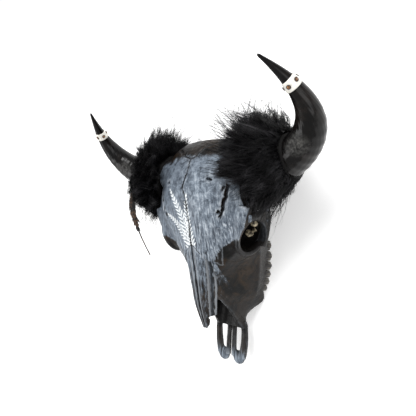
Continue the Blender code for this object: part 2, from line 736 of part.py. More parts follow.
def fur_solid(name):
    """The left wrap: a core round the horn's root with its locks grown together with it."""
    rings = []
    for t in spaced(FUR_START, FUR_END, CORE_RINGS):
        ring = []
        for a in turned(CORE_SIDES):
            point, ahead, across, third, out = wrap_frame(t, a)
            ring.append(point + out * core_size(t))
        rings.append(ring)
    core = loft(name, rings)
    group = bpy.data.collections.new("locks")
    locks = fur_locks()
    for lock in locks:
        group.objects.link(lock)
    mod_applied(core, "BOOLEAN", operation="UNION", operand_type="COLLECTION", collection=group,
                solver="MANIFOLD")
    for lock in locks:
        bpy.data.objects.remove(lock, do_unlink=True)
    bpy.data.collections.remove(group)
    return largest_body(core)


def feather_solid(name):
    """Narrow feather with a bare quill, hung from the right wrap."""
    rings = []
    for i in range(FEATHER_RINGS + 1):
        t = i / FEATHER_RINGS
        point = curve_point(FEATHER_CURVE, t)
        ahead = curve_point(FEATHER_CURVE, min(t + 0.02, 1.0)) - curve_point(FEATHER_CURVE, max(t - 0.02, 0.0))
        ahead.normalize()
        across = (FEATHER_SIDE - ahead * FEATHER_SIDE.dot(ahead)).normalized()
        face = ahead.cross(across)
        half = SHAFT_RADIUS
        if t < VANE_END:
            vane = FEATHER_HALF * math.sin(math.pi * min(1.0, (t + VANE_LEAD) / VANE_SPAN)) ** 0.6
            half = max(SHAFT_RADIUS, vane)
        rings.append([point - across * half, point - face * FEATHER_THICK, point + across * half,
                      point + face * FEATHER_THICK])
    return loft(name, rings)


def loose_pieces(item):
    """Separate objects for the closed surfaces of an object."""
    bm = bmesh.new()
    bm.from_mesh(item.data)
    left = set(bm.verts)
    groups = []
    while left:
        stack = [left.pop()]
        group = {stack[0].index}
        while stack:
            for edge in stack.pop().link_edges:
                for v in edge.verts:
                    if v in left:
                        left.discard(v)
                        group.add(v.index)
                        stack.append(v)
        groups.append(group)
    bm.free()
    made = []
    for group in groups:
        piece = copy_of(item, "piece")
        piece_bm = bmesh.new()
        piece_bm.from_mesh(piece.data)
        others = [v for v in piece_bm.verts if v.index not in group]
        bmesh.ops.delete(piece_bm, geom=others, context="VERTS")
        piece_bm.to_mesh(piece.data)
        piece_bm.free()
        made.append(piece)
    bpy.data.objects.remove(item, do_unlink=True)
    return made


def centre_and_size(item):
    points = np.array([v.co for v in item.data.vertices])
    return (points.min(0) + points.max(0)) / 2, points.max(0) - points.min(0)


def skull_bones():
    """Whole skull, fused, hollowed and parted by its seams into named bones."""
    skull = fused("skull", bone_solids())
    boolean(skull, fused("hollow", bone_hollows(), smooth=2), "DIFFERENCE")
    mended(thinned(skull, SKULL_FACES))
    boolean(skull, box_between("floor_cut", (-0.2, -0.1, -0.05), (0.2, 0.6, 0.0)), "DIFFERENCE")
    for pocket in both(nasal_solid("pocket", spread=2 * GAP, lift=POCKET_LIFT)):
        boolean(skull, pocket, "DIFFERENCE")
    boolean(skull, seam("face_seam", FACE_SEAM, -0.2, 0.2), "DIFFERENCE")
    boolean(skull, seam("nose_seam", NOSE_SEAM, -0.2, 0.2), "DIFFERENCE")
    split = box_between("front_split", (-SEAM_WIDTH / 2, -0.02, 0.0), (SEAM_WIDTH / 2, FRONT_SPLIT_END, 0.15))
    boolean(skull, split, "DIFFERENCE")
    found = {}
    for piece in loose_pieces(skull):
        centre, size = centre_and_size(piece)
        if size.max() < SCRAP:
            bpy.data.objects.remove(piece, do_unlink=True)
            continue
        if centre[1] < PREMAX_REACH and abs(centre[0]) > SEAM_WIDTH:
            key = "premaxilla_left" if centre[0] > 0 else "premaxilla_right"
        elif centre[1] < CRANIUM_BEGINS:
            key = "upper_jaw"
        else:
            key = "cranium"
        if key in found:
            if size.max() > centre_and_size(found[key])[1].max():
                bpy.data.objects.remove(found[key], do_unlink=True)
            else:
                bpy.data.objects.remove(piece, do_unlink=True)
                continue
        found[key] = piece
        piece.name = key
    return found


def painted(item, finish):
    item.data.materials.clear()
    item.data.materials.append(finish)
    return item


def bone_nodes():
    """The bones with their teeth and nasal bones, all in the same paint."""
    paint = material("bone_paint", (0.06, 0.065, 0.075), 0.45)
    nodes = skull_bones()
    for item in tooth_solids():
        boolean(nodes["upper_jaw"], item, "UNION")
    nodes["nasal_left"], nodes["nasal_right"] = both(nasal_solid("nasal"))
    for item in nodes.values():
        painted(item, paint)
    return nodes


def add_dress(nodes):
    """Horns, bands and wraps on both sides, and the feather on the right."""
    horn = painted(horn_solid("horn"), material("horn", (0.020, 0.017, 0.016), 0.25))
    band = painted(band_solid("band"), material("band", (0.80, 0.79, 0.76), 0.4))
    fur = painted(fur_solid("fur"), material("fur", (0.012, 0.011, 0.011), 0.8))
    for name, made in (("horn", horn), ("band", band), ("fur", fur)):
        nodes[name + "_left"], nodes[name + "_right"] = both(made)
    for side in ("left", "right"):
        cleared(nodes["horn_" + side], nodes["cranium"], SKIN)
        cleared(nodes["fur_" + side], nodes["horn_" + side], SKIN)
        cleared(nodes["fur_" + side], nodes["cranium"], FUR_CLEAR)
    feather = cleared(feather_solid("feather"), nodes["fur_right"], SKIN)
    nodes["feather_right"] = painted(feather, material("feather", (0.03, 0.02, 0.015), 0.6))


def build():
    clear_scene()
    nodes = bone_nodes()
    add_dress(nodes)
    root = bpy.data.objects.new("skull_origin", None)
    bpy.context.collection.objects.link(root)
    root.location = (0, -ORIGIN_BACK, 0)
    for name, item in nodes.items():
        item.name = name
        item.data.name = name
        item.parent = root
    bpy.context.view_layer.update()


build()
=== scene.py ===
"""Looks of the cow skull: painted bone, black horns, fur wraps, studded bands and a feather.

Metres, +Z up, in the same frame as the solids. The forms are worked out in the skull's own frame,
where y runs from the front of the premaxillae, and are moved back by ORIGIN_BACK at the end.
"""

import math
import random

import bmesh
import bpy
import numpy as np
from mathutils import Matrix, Vector
from mathutils.bvhtree import BVHTree
from mathutils.kdtree import KDTree


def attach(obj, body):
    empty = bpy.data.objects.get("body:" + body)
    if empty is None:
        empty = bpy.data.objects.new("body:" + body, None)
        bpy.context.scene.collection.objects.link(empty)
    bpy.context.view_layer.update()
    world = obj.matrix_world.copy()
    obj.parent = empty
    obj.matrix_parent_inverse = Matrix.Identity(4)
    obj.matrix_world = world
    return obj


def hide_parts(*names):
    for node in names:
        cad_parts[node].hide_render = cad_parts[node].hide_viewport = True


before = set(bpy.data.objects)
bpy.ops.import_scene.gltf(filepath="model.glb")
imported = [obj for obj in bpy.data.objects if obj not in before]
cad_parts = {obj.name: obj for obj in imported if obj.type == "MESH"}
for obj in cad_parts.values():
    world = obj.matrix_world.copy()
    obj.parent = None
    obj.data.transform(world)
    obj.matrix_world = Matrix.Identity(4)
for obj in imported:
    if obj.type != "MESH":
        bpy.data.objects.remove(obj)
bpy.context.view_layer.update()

# Bones: the voxel that they are fused with, and the rounds of smoothing of bone and of hollows.
BONE_VOXEL = 0.0016
BONE_SMOOTH = 12
HOLLOW_SMOOTH = 4

ORIGIN_BACK = 0.278
GAP = 0.0003

# Profiles along the skull: (distance from the nose, value).
ROOF_TOP = [(0.084, 0.131), (0.138, 0.156), (0.181, 0.169), (0.260, 0.193), (0.305, 0.206),
            (0.380, 0.226), (0.437, 0.218), (0.470, 0.203), (0.490, 0.184)]
FRONTAL_HALF = [(0.222, 0.046), (0.248, 0.068), (0.262, 0.080), (0.276, 0.091), (0.289, 0.101),
                (0.302, 0.112), (0.318, 0.124), (0.332, 0.127), (0.350, 0.119), (0.375, 0.113),
                (0.400, 0.112), (0.440, 0.109), (0.470, 0.099), (0.490, 0.074)]
FRONTAL_EDGE = [(0.222, 0.152), (0.250, 0.156), (0.280, 0.161), (0.316, 0.171), (0.360, 0.186),
                (0.400, 0.186), (0.440, 0.178), (0.470, 0.168), (0.490, 0.160)]
NASAL_HALF = [(0.084, 0.012), (0.113, 0.021), (0.135, 0.026), (0.160, 0.030), (0.190, 0.033),
              (0.230, 0.037), (0.262, 0.040)]
NASAL_DROP = [(0.084, 0.016), (0.113, 0.022), (0.160, 0.027), (0.230, 0.026), (0.262, 0.020)]
RIM_HALF = [(0.084, 0.041), (0.095, 0.037), (0.115, 0.034), (0.135, 0.031), (0.157, 0.030)]
RIM_HEIGHT = [(0.084, 0.052), (0.095, 0.062), (0.115, 0.080), (0.135, 0.102), (0.157, 0.130)]
SHOULDER_HALF = [(0.157, 0.032), (0.200, 0.041), (0.222, 0.051), (0.235, 0.063), (0.248, 0.078),
                 (0.262, 0.090), (0.290, 0.096)]
SHOULDER_HEIGHT = [(0.157, 0.126), (0.200, 0.134), (0.222, 0.146), (0.248, 0.150), (0.290, 0.146)]
CHEEK_HALF = [(0.084, 0.044), (0.105, 0.036), (0.135, 0.048), (0.160, 0.062), (0.200, 0.077),
              (0.240, 0.090), (0.262, 0.098), (0.285, 0.104), (0.300, 0.098)]
CHEEK_HEIGHT = [(0.084, 0.038), (0.105, 0.040), (0.160, 0.040), (0.200, 0.052), (0.240, 0.070),
                (0.262, 0.084), (0.285, 0.096), (0.300, 0.100)]
JAW_HALF = [(0.084, 0.040), (0.105, 0.032), (0.128, 0.046), (0.142, 0.058), (0.156, 0.062), (0.176, 0.064),
            (0.200, 0.069), (0.240, 0.070), (0.280, 0.066), (0.300, 0.050)]
JAW_HEIGHT = [(0.084, 0.030), (0.116, 0.028), (0.130, 0.018), (0.142, 0.005), (0.154, 0.003), (0.168, 0.010),
              (0.190, 0.014), (0.270, 0.014), (0.300, 0.024)]
PALATE_HEIGHT = [(0.084, 0.034), (0.140, 0.030), (0.300, 0.027)]
JAW_THICK = 0.022
PALATE_EDGE = 0.028
SHIELD_SPAN = (0.224, 0.487)
SNOUT_SPAN = (0.084, 0.298)

# Sections: the forehead's belly under its brow edge and the bends of its dome and belly, the lip of
# the open nose, and the bed of the nasal bones.
SHIELD_DEEP = 0.055
DOME_BEND = 2.4
BELLY_BEND = 0.8
LIP_WIDTH = 0.004
LIP_DROP = 0.003
BED_WIDTH = 0.72
BED_DROP = 0.003
ROOF_DROP = 0.001
# Nasal bones: thickness, rear suture and split tips.
NASAL_THICK = 0.0050
NASAL_TIP = 0.088
NASAL_REAR = 0.262
NASAL_SIDE_REAR = 0.230
NASAL_SEAM = 0.0006
NASAL_POINT = 0.003
NASAL_CREST = 0.003
NASAL_BEND = 3.2
NASAL_TIP_THICK = 0.35
NASAL_TIP_LENGTH = 0.030
NASAL_SLOPE_STEP = 0.0005
POCKET_LIFT = 0.020
NASAL_OUTER = [(0.088, 0.006), (0.096, 0.011), (0.108, 0.0145), (0.114, 0.0150), (0.118, 0.0215),
               (0.124, 0.0240), (0.160, 0.032), (0.262, 0.045)]

# Nasal cavity behind the open front of the nose.
CAVITY_SPAN = (0.030, 0.222)
CAVITY_MOUTH = 0.157
CAVITY_OPEN_TOP = 0.160
CAVITY_ROOF = 0.004
CAVITY_HALF = [(0.030, 0.034), (0.084, 0.035), (0.095, 0.031), (0.115, 0.029), (0.157, 0.026),
               (0.190, 0.027), (0.222, 0.022)]
CAVITY_FLOOR = [(0.030, 0.050), (0.084, 0.045), (0.110, 0.045), (0.222, 0.062)]

# Seams between the bones, as (distance from the nose, height) points.
SEAM_WIDTH = 0.0003
FACE_SEAM = [(0.226, 0.300), (0.234, 0.150), (0.238, 0.118), (0.262, 0.088), (0.288, 0.066),
             (0.290, -0.020)]
NOSE_SEAM = [(0.176, 0.300), (0.168, 0.138), (0.148, 0.104), (0.122, 0.070), (0.104, 0.048),
             (0.100, -0.020)]

# Parting the skull: size of a scrap to drop, how far back a premaxilla's middle lies at most, where
# the cranium's begins, and how far back the gap between the premaxillae goes.
SCRAP = 0.030
PREMAX_REACH = 0.110
CRANIUM_BEGINS = 0.24
FRONT_SPLIT_END = 0.150

# Cheek teeth, three premolars and three molars on each side: (length, width).
TOOTH_START = 0.168
TEETH = [(0.014, 0.014), (0.016, 0.017), (0.017, 0.019), (0.020, 0.022), (0.023, 0.023), (0.024, 0.022)]
TOOTH_SPACE = 0.0006
TOOTH_ROOT = 0.022
TOOTH_RIB = 0.13
TOOTH_ROW = [(0.168, 0.056), (0.190, 0.061), (0.220, 0.063), (0.285, 0.058)]

# Orbits.
ORBIT_CENTRE = Vector((0.111, 0.289, 0.137))
ORBIT_FACING = Vector((0.93, -0.36, 0.07)).normalized()
ORBIT_RIM = 0.0385
ORBIT_THICK = 0.0060
ORBIT_HOLE = 0.0338
ORBIT_LOOK = [(0.030, 1.04), (0.004, 1.0), (-0.014, 0.97), (-0.032, 0.84), (-0.048, 0.56), (-0.056, 0.24)]
ORBIT_CONE = [(0.001, 0.0400), (-0.014, 0.0420), (-0.034, 0.0470), (-0.062, 0.0500)]

# Rounded masses of bone, as (name, centre, radii): those on the midline, and those of the left side.
MIDDLE_MASSES = [("braincase", (0.0, 0.405, 0.135), (0.072, 0.080, 0.068)),
                 ("between_orbits", (0.0, 0.310, 0.130), (0.060, 0.062, 0.058)),
                 ("occiput", (0.0, 0.448, 0.137), (0.100, 0.033, 0.066))]
SIDE_MASSES = [("temple", (0.066, 0.350, 0.138), (0.044, 0.042, 0.048)),
               ("condyle", (0.027, 0.474, 0.078), (0.016, 0.018, 0.023)),
               ("bulla", (0.050, 0.425, 0.056), (0.012, 0.022, 0.020)),
               ("premaxilla_front", (0.0215, 0.0150, 0.036), (0.0165, 0.0155, 0.0066))]

# Bars of bone, as (name, control points, radii): one on the midline, and those of the left side.
SKULL_BASE = ("skull_base", [(0.0, 0.290, 0.080), (0.0, 0.380, 0.072), (0.0, 0.470, 0.085)],
              (0.026, 0.022, 0.024))
SIDE_BARS = [
    ("brow", [(0.078, 0.262, 0.146), (0.108, 0.292, 0.174), (0.118, 0.345, 0.176)], (0.006, 0.013, 0.016)),
    ("zygomatic", [(0.108, 0.272, 0.100), (0.130, 0.330, 0.098), (0.114, 0.395, 0.102),
                   (0.084, 0.438, 0.118)], (0.012, 0.010, 0.010, 0.014)),
    ("postorbital", [(0.122, 0.322, 0.170), (0.127, 0.334, 0.136), (0.120, 0.334, 0.104)],
     (0.011, 0.009, 0.010)),
    ("horn_root", [(0.060, 0.420, 0.165), (0.106, 0.418, 0.158)], (0.046, 0.043)),
    ("paracondylar", [(0.062, 0.452, 0.100), (0.060, 0.450, 0.050), (0.052, 0.452, -0.004)],
     (0.024, 0.015, 0.008)),
    ("ear", [(0.050, 0.430, 0.100), (0.090, 0.440, 0.112)], (0.020, 0.014)),
    ("pterygoid", [(0.024, 0.280, 0.055), (0.023, 0.312, 0.048), (0.021, 0.342, 0.030)],
     (0.022, 0.017, 0.007))]
ROD_FLAT = 0.62
PREMAX_ROD = ("premaxilla_rod", [(0.030, 0.016, 0.037), (0.039, 0.044, 0.038), (0.038, 0.074, 0.040),
                                 (0.036, 0.098, 0.044)], (0.0105, 0.0102, 0.0095, 0.0080))
PALATINE_ROD = ("palatine_rod", [(0.0085, 0.016, 0.038), (0.0070, 0.050, 0.040), (0.0070, 0.100, 0.039)],
                (0.0066, 0.0056, 0.0060))

# Bars of air that are cut out on the midline.
FORAMEN_MAGNUM = ("foramen_magnum", [(0.0, 0.500, 0.108), (0.0, 0.455, 0.110)], (0.018, 0.016))
CHOANAE = ("choanae", [(0.0, 0.370, 0.042), (0.0, 0.300, 0.046), (0.0, 0.240, 0.054)], (0.015, 0.015, 0.012))

# Horns: the left curve's control points, and radii along it.
HORN_CURVE = [Vector(p) for p in ((0.098, 0.417, 0.155), (0.209, 0.413, 0.143), (0.300, 0.466, 0.185),
                                  (0.290, 0.502, 0.240), (0.233, 0.553, 0.319))]
HORN_RADII = (0.0440, 0.0390, 0.0315, 0.0160, 0.0020)

# Bands round the horns, and the studs on them.
BAND_START = 0.803
BAND_END = 0.853
BAND_THICK = 0.0012
STUDS = 5
STUD_TURN = 0.94
STUD_RADIUS = 0.0035

# Fur wraps round the horn roots: the stretch of the horn that they cover, their slant, the radii of
# their core, and how much longer the tufts above and below are.
FUR_START = 0.0
FUR_END = 0.315
FUR_SLANT = 0.045
CORE_RADII = (0.056, 0.062, 0.059, 0.046, 0.0425)
TUFT_TALL = 0.14

# The feather that hangs from the right wrap.
FEATHER_CURVE = [Vector(p) for p in ((-0.188, 0.404, 0.198), (-0.236, 0.372, 0.196), (-0.236, 0.320, 0.180),
                                     (-0.245, 0.229, 0.101))]
FEATHER_SIDE = Vector((0.74, 0.06, -0.67)).normalized()
FEATHER_HALF = 0.0075
VANE_LEAD = 0.04
SHAFT_RADIUS = 0.0022


def curve_point(points, t):
    """Bezier curve through its control points' hull."""
    degree = len(points) - 1
    total = points[0] * 0.0
    for i, point in enumerate(points):
        total = total + point * (math.comb(degree, i) * t ** i * (1.0 - t) ** (degree - i))
    return total


def along(stations, y):
    """Value at y on a smooth curve through (y, value) stations."""
    ys = np.array([s[0] for s in stations])
    vs = np.array([s[1] for s in stations])
    y = min(max(y, ys[0]), ys[-1])
    slopes = np.gradient(vs, ys)
    i = int(np.clip(np.searchsorted(ys, y) - 1, 0, len(ys) - 2))
    h = ys[i + 1] - ys[i]
    t = (y - ys[i]) / h
    return float((2 * t ** 3 - 3 * t ** 2 + 1) * vs[i] + (t ** 3 - 2 * t ** 2 + t) * h * slopes[i]
                 + (3 * t ** 2 - 2 * t ** 3) * vs[i + 1] + (t ** 3 - t ** 2) * h * slopes[i + 1])


def linked(name, data):
    """New object in the scene, round a mesh, lamp or camera."""
    made = bpy.data.objects.new(name, data)
    bpy.context.collection.objects.link(made)
    return made


def from_bmesh(name, bm):
    mesh = bpy.data.meshes.new(name)
    bm.to_mesh(mesh)
    bm.free()
    return linked(name, mesh)


def add_object(name, bm):
    bmesh.ops.recalc_face_normals(bm, faces=bm.faces)
    return from_bmesh(name, bm)


def spoke(point, across, third, radius, a):
    """Place at a radius from a point, at the turn a round it."""
    return point + across * (radius * math.cos(a)) + third * (radius * math.sin(a))


def turned(count):
    """Angles of an even turn."""
    return [2 * math.pi * k / count for k in range(count)]


def value_at(values, t):
    """Number at t on the curve through its control values' hull."""
    return curve_point([Vector((value, 0, 0)) for value in values], t).x


def strips(bm, loops):
    """Side faces between each loop of vertices and the next, all split alike."""
    for low, high in zip(loops, loops[1:]):
        for i in range(len(low)):
            j = (i + 1) % len(low)
            bm.faces.new((low[i], low[j], high[j]))
            bm.faces.new((low[i], high[j], high[i]))


def loft(name, rings):
    """Closed solid through rings of equal length, with a cap on both ends."""
    bm = bmesh.new()
    loops = [[bm.verts.new(p) for p in ring] for ring in rings]
    strips(bm, loops)
    bm.faces.new(loops[0][::-1])
    bm.faces.new(loops[-1])
    return add_object(name, bm)


def ring_solid(name, rings):
    """Closed ring through rings of points that come back to the first one."""
    bm = bmesh.new()
    loops = [[bm.verts.new(p) for p in ring] for ring in rings]
    strips(bm, loops + loops[:1])
    return add_object(name, bm)


def tube(name, points, radii, sides=12, flat=1.0, side_axis=Vector((0, 0, 1))):
    """Tapered bar along points, flattened across side_axis where flat is under 1."""
    rings = []
    for i, point in enumerate(points):
        ahead = points[min(i + 1, len(points) - 1)] - points[max(i - 1, 0)]
        ahead.normalize()
        across = (side_axis - ahead * side_axis.dot(ahead)).normalized()
        third = ahead.cross(across)
        rings.append([point + across * (radii[i] * flat * math.cos(a)) + third * (radii[i] * math.sin(a))
                      for a in turned(sides)])
    return loft(name, rings)


def bar(form, steps=10, **options):
    """Tube along a Bezier curve, with its radii read along their own curve."""
    name, controls, radii = form
    points = [curve_point([Vector(c) for c in controls], i / steps) for i in range(steps + 1)]
    sizes = [value_at(radii, i / steps) for i in range(steps + 1)]
    return tube(name, points, sizes, **options)


def ball(form):
    """Rounded mass of bone."""
    name, centre, radii = form
    bm = bmesh.new()
    bmesh.ops.create_uvsphere(bm, u_segments=24, v_segments=16, radius=1.0)
    for v in bm.verts:
        v.co = Vector(centre) + Vector((v.co.x * radii[0], v.co.y * radii[1], v.co.z * radii[2]))
    return add_object(name, bm)


def copied(item):
    made = item.copy()
    made.data = item.data.copy()
    bpy.context.collection.objects.link(made)
    return made


def flipped(item):
    """The same solid on the skull's other side."""
    item.data.transform(Matrix.Diagonal((-1, 1, 1, 1)))
    item.data.flip_normals()
    return item


def both(item):
    """A solid of the left side and its copy on the right."""
    return [item, flipped(copied(item))]


def mod_applied(item, kind, **values):
    """Adds one modifier and keeps its result as the object's own mesh."""
    mod = item.modifiers.new(kind.lower(), kind)
    for key, value in values.items():
        setattr(mod, key, value)
    graph = bpy.context.evaluated_depsgraph_get()
    mesh = bpy.data.meshes.new_from_object(item.evaluated_get(graph))
    item.modifiers.remove(mod)
    old = item.data
    item.data = mesh
    bpy.data.meshes.remove(old)
    return item


def joined(name, items):
    """One object with the meshes of all the items, which are removed."""
    bm = bmesh.new()
    for item in items:
        bm.from_mesh(item.data)
        bpy.data.objects.remove(item, do_unlink=True)
    return from_bmesh(name, bm)


def frontal_ring(y, sides=40):
    """Section of the forehead's shield: a dome above, a rounded brow edge and a flat belly."""
    half = along(FRONTAL_HALF, y)
    top = along(ROOF_TOP, y)
    edge = along(FRONTAL_EDGE, y)
    belly = edge - SHIELD_DEEP
    ring = []
    for k in range(sides):
        a = 2 * math.pi * k / sides
        x = half * math.cos(a)
        if math.sin(a) >= 0:
            z = edge + (top - edge) * (1 - abs(math.cos(a)) ** DOME_BEND)
        else:
            z = edge - (edge - belly) * abs(math.sin(a)) ** BELLY_BEND
        ring.append(Vector((x, y, z)))
    return ring


def snout_ring(y, steps=4):
    """Section of the face: roof, shoulder, facial crest, alveolar edge and palate."""
    if y < CAVITY_MOUTH:
        top = (0.0, along(RIM_HEIGHT, y))
        edge = (along(RIM_HALF, y) - LIP_WIDTH, along(RIM_HEIGHT, y))
        shoulder = (along(RIM_HALF, y), along(RIM_HEIGHT, y) - LIP_DROP)
    else:
        top = (0.0, along(ROOF_TOP, y) - ROOF_DROP)
        edge = (along(NASAL_HALF, y) * BED_WIDTH, along(ROOF_TOP, y) - BED_DROP)
        shoulder = (along(SHOULDER_HALF, y), along(SHOULDER_HEIGHT, y))
    cheek = (along(CHEEK_HALF, y), along(CHEEK_HEIGHT, y))
    jaw = along(JAW_HALF, y)
    jaw_z = along(JAW_HEIGHT, y)
    palate = along(PALATE_HEIGHT, y)
    corners = [top, edge, shoulder, cheek, (jaw, jaw_z), (jaw - JAW_THICK, jaw_z),
               (jaw - PALATE_EDGE, palate), (0.0, palate)]
    half = []
    for (x0, z0), (x1, z1) in zip(corners, corners[1:]):
        for k in range(steps):
            t = k / steps
            half.append((x0 + (x1 - x0) * t, z0 + (z1 - z0) * t))
    half.append(corners[-1])
    ring = [Vector((x, y, z)) for x, z in half]
    ring += [Vector((-x, y, z)) for x, z in half[-2:0:-1]]
    return ring


def spaced(start, end, count):
    return [start + (end - start) * i / (count - 1) for i in range(count)]


def orbit_ring(depth, radius, count):
    """Points round the left orbit's axis, depth metres out of its rim's plane."""
    turn = ORBIT_FACING.to_track_quat("Z", "X").to_matrix()
    centre = ORBIT_CENTRE + ORBIT_FACING * depth
    return [centre + turn @ Vector((radius * math.cos(a), radius * math.sin(a), 0)) for a in turned(count)]


def rim_solid(name, around=28, sides=8):
    """Raised lip of bone round the left orbit."""
    steps = [(ORBIT_THICK * math.sin(b), ORBIT_RIM + ORBIT_THICK * math.cos(b)) for b in turned(sides)]
    return ring_solid(name, [orbit_ring(depth, radius, around) for depth, radius in steps])


def bone_solids():
    """Every added form of the skull, before the hollows are cut."""
    items = [loft("shield", [frontal_ring(y) for y in spaced(*SHIELD_SPAN, 32)]),
             loft("snout", [snout_ring(y) for y in spaced(*SNOUT_SPAN, 30)]),
             bar(SKULL_BASE)]
    items += [ball(form) for form in MIDDLE_MASSES]
    items += both(rim_solid("rim"))
    items += both(loft("orbit_cone", [orbit_ring(depth, radius, 28) for depth, radius in ORBIT_CONE]))
    for form in SIDE_MASSES:
        items += both(ball(form))
    for form in SIDE_BARS:
        items += both(bar(form, sides=16))
    items += both(bar(PREMAX_ROD, flat=ROD_FLAT))
    items += both(bar(PALATINE_ROD))
    return items


def bone_hollows():
    """Solids of the hollows that the skull's openings show."""
    items = both(loft("socket", [orbit_ring(depth, ORBIT_HOLE * scale, 24) for depth, scale in ORBIT_LOOK]))
    rings = []
    for y in spaced(*CAVITY_SPAN, 22):
        high = CAVITY_OPEN_TOP if y < CAVITY_MOUTH else along(ROOF_TOP, y) - CAVITY_ROOF
        low = along(CAVITY_FLOOR, y)
        half = along(CAVITY_HALF, y)
        middle = (high + low) / 2
        rise = (high - low) / 2
        rings.append([Vector((half * squared(math.cos(a)), y, middle + rise * squared(math.sin(a))))
                      for a in turned(28)])
    items.append(loft("nasal_cavity", rings))
    items.append(bar(FORAMEN_MAGNUM))
    items.append(bar(CHOANAE))
    return items


def squared(value, power=0.6):
    """A sine or cosine bent so that its circle turns into a rounded square."""
    return math.copysign(abs(value) ** power, value)


def nasal_surface(x, y):
    """Height of a nasal bone's upper face."""
    half = along(NASAL_HALF, y)
    crest = NASAL_CREST * math.sin(math.pi * min(x / (0.95 * half), 1.0))
    return along(ROOF_TOP, y) + crest - along(NASAL_DROP, y) * (x / half) ** NASAL_BEND


def nasal_solid(name, spread=0.0, lift=0.0, rings=16, steps=6):
    """Left nasal bone: a curved plate with a split front and a pointed root in the forehead.

    With spread and lift it is the room that the skull leaves for the bone, open above.
    """
    loops = []
    stations = spaced(NASAL_TIP, NASAL_SIDE_REAR, rings - 3) + spaced(NASAL_SIDE_REAR, NASAL_REAR, 4)[1:]
    for i, y in enumerate(stations):
        back = max(0.0, (y - NASAL_SIDE_REAR) / (NASAL_REAR - NASAL_SIDE_REAR))
        outer = min(along(NASAL_OUTER, y), along(NASAL_HALF, y)) * (1.0 - back) + NASAL_POINT * back
        thick = NASAL_THICK * min(1.0, NASAL_TIP_THICK + (y - NASAL_TIP) / NASAL_TIP_LENGTH) + spread
        end = {0: -spread, rings - 1: spread}.get(i, 0.0)
        upper = []
        lower = []
        for k in range(steps):
            x = NASAL_SEAM + (outer - NASAL_SEAM) * k / (steps - 1)
            z = nasal_surface(x, y)
            slope = (nasal_surface(x + NASAL_SLOPE_STEP, y) - z) / NASAL_SLOPE_STEP
            face = Vector((-slope, 0.0, 1.0)).normalized()
            if k == 0:
                face = Vector((0.0, 0.0, 1.0))
            aside = Vector(({0: -spread, steps - 1: spread * (1.0 + 2.0 * back)}.get(k, 0.0), end, 0.0))
            upper.append(Vector((x, y, z + lift)) + aside)
            lower.append(Vector((x, y, z)) - face * thick + aside)
        corner = [upper[-1] - Vector((0.0, 0.0, lift))] if lift > 0.0 else []
        loops.append(upper + corner + lower[::-1])
    return loft(name, loops)


def seam(name, path, near, far):
    """Thin upright sheet across the skull from x = near to far, along (y, z) points."""
    rings = []
    for i, (y, z) in enumerate(path):
        y0, z0 = path[max(i - 1, 0)]
        y1, z1 = path[min(i + 1, len(path) - 1)]
        length = math.hypot(y1 - y0, z1 - z0)
        dy = -(z1 - z0) / length * SEAM_WIDTH / 2
        dz = (y1 - y0) / length * SEAM_WIDTH / 2
        rings.append([Vector((near, y - dy, z - dz)), Vector((near, y + dy, z + dz)),
                      Vector((far, y + dy, z + dz)), Vector((far, y - dy, z - dz))])
    return loft(name, rings)


def box_between(name, low, high):
    corners = ((low[0], low[1]), (high[0], low[1]), (high[0], high[1]), (low[0], high[1]))
    return loft(name, [[Vector((x, y, z)) for x, y in corners] for z in (low[2], high[2])])


def horn_size(t):
    """Radius of the horn at t along it."""
    return value_at(HORN_RADII, t)


def horn_frame(t):
    """Point, direction and two cross directions of the left horn at t."""
    step = 0.005
    point = curve_point(HORN_CURVE, t)
    ahead = (curve_point(HORN_CURVE, t + step) - curve_point(HORN_CURVE, t - step)).normalized()
    across = (Vector((0, 1, 0)) - ahead * ahead.y).normalized()
    return point, ahead, across, ahead.cross(across)


def core_size(t):
    """Radius of the wrap's core at t along the horn."""
    return value_at(CORE_RADII, (t - FUR_START) / (FUR_END - FUR_START))


def wrap_size(t, share):
    """Radius a share of the way from the horn to the wrap's core, at t along the horn."""
    return horn_size(t) + (core_size(t) - horn_size(t)) * share


def wrap_frame(t, a):
    """Horn's frame and the way out of it at the turn a, further along the horn above than below."""
    point, ahead, across, third = horn_frame(t + FUR_SLANT * math.cos(a) * t / FUR_END)
    return point, ahead, across, third, across * math.cos(a) + third * math.sin(a)


# Lines on the bone, in plan from above: (across, distance from the nose).
MIDLINE = [(0.003, 0.439), (0.005, 0.416), (0.000, 0.402), (-0.006, 0.381), (-0.001, 0.365), (0.002, 0.345),
           (0.000, 0.325), (0.000, 0.304), (-0.001, 0.280), (0.000, 0.262)]
CROWN_SUTURE = [(-0.050, 0.470), (-0.026, 0.459), (-0.009, 0.446), (0.003, 0.439), (0.015, 0.444),
                (0.030, 0.466), (0.052, 0.474)]
BROW_GROOVE = [(0.094, 0.384), (0.093, 0.372), (0.092, 0.360), (0.087, 0.352), (0.085, 0.335), (0.076, 0.320)]
BROW_SLIT = [(0.085, 0.373), (0.088, 0.381)]
FORAMEN = [(0.076, 0.331), (0.074, 0.328)]
CROWN_PIT = [(0.057, 0.396), (0.062, 0.394)]
GROOVES = [BROW_GROOVE, BROW_SLIT, FORAMEN, CROWN_PIT]
ROOT_STREAKS = [[(0.044, 0.310), (0.039, 0.266), (0.032, 0.236)],
                [(0.059, 0.305), (0.053, 0.261), (0.046, 0.234)],
                [(0.069, 0.296), (0.060, 0.258), (0.050, 0.230)],
                [(0.026, 0.300), (0.024, 0.270), (0.020, 0.258)]]
LACRIMAL = [(0.096, 0.282), (0.084, 0.276), (0.073, 0.271), (0.062, 0.262), (0.050, 0.246), (0.044, 0.236)]
BROW_FOLD = [(0.104, 0.352), (0.099, 0.338), (0.090, 0.326), (0.078, 0.318)]

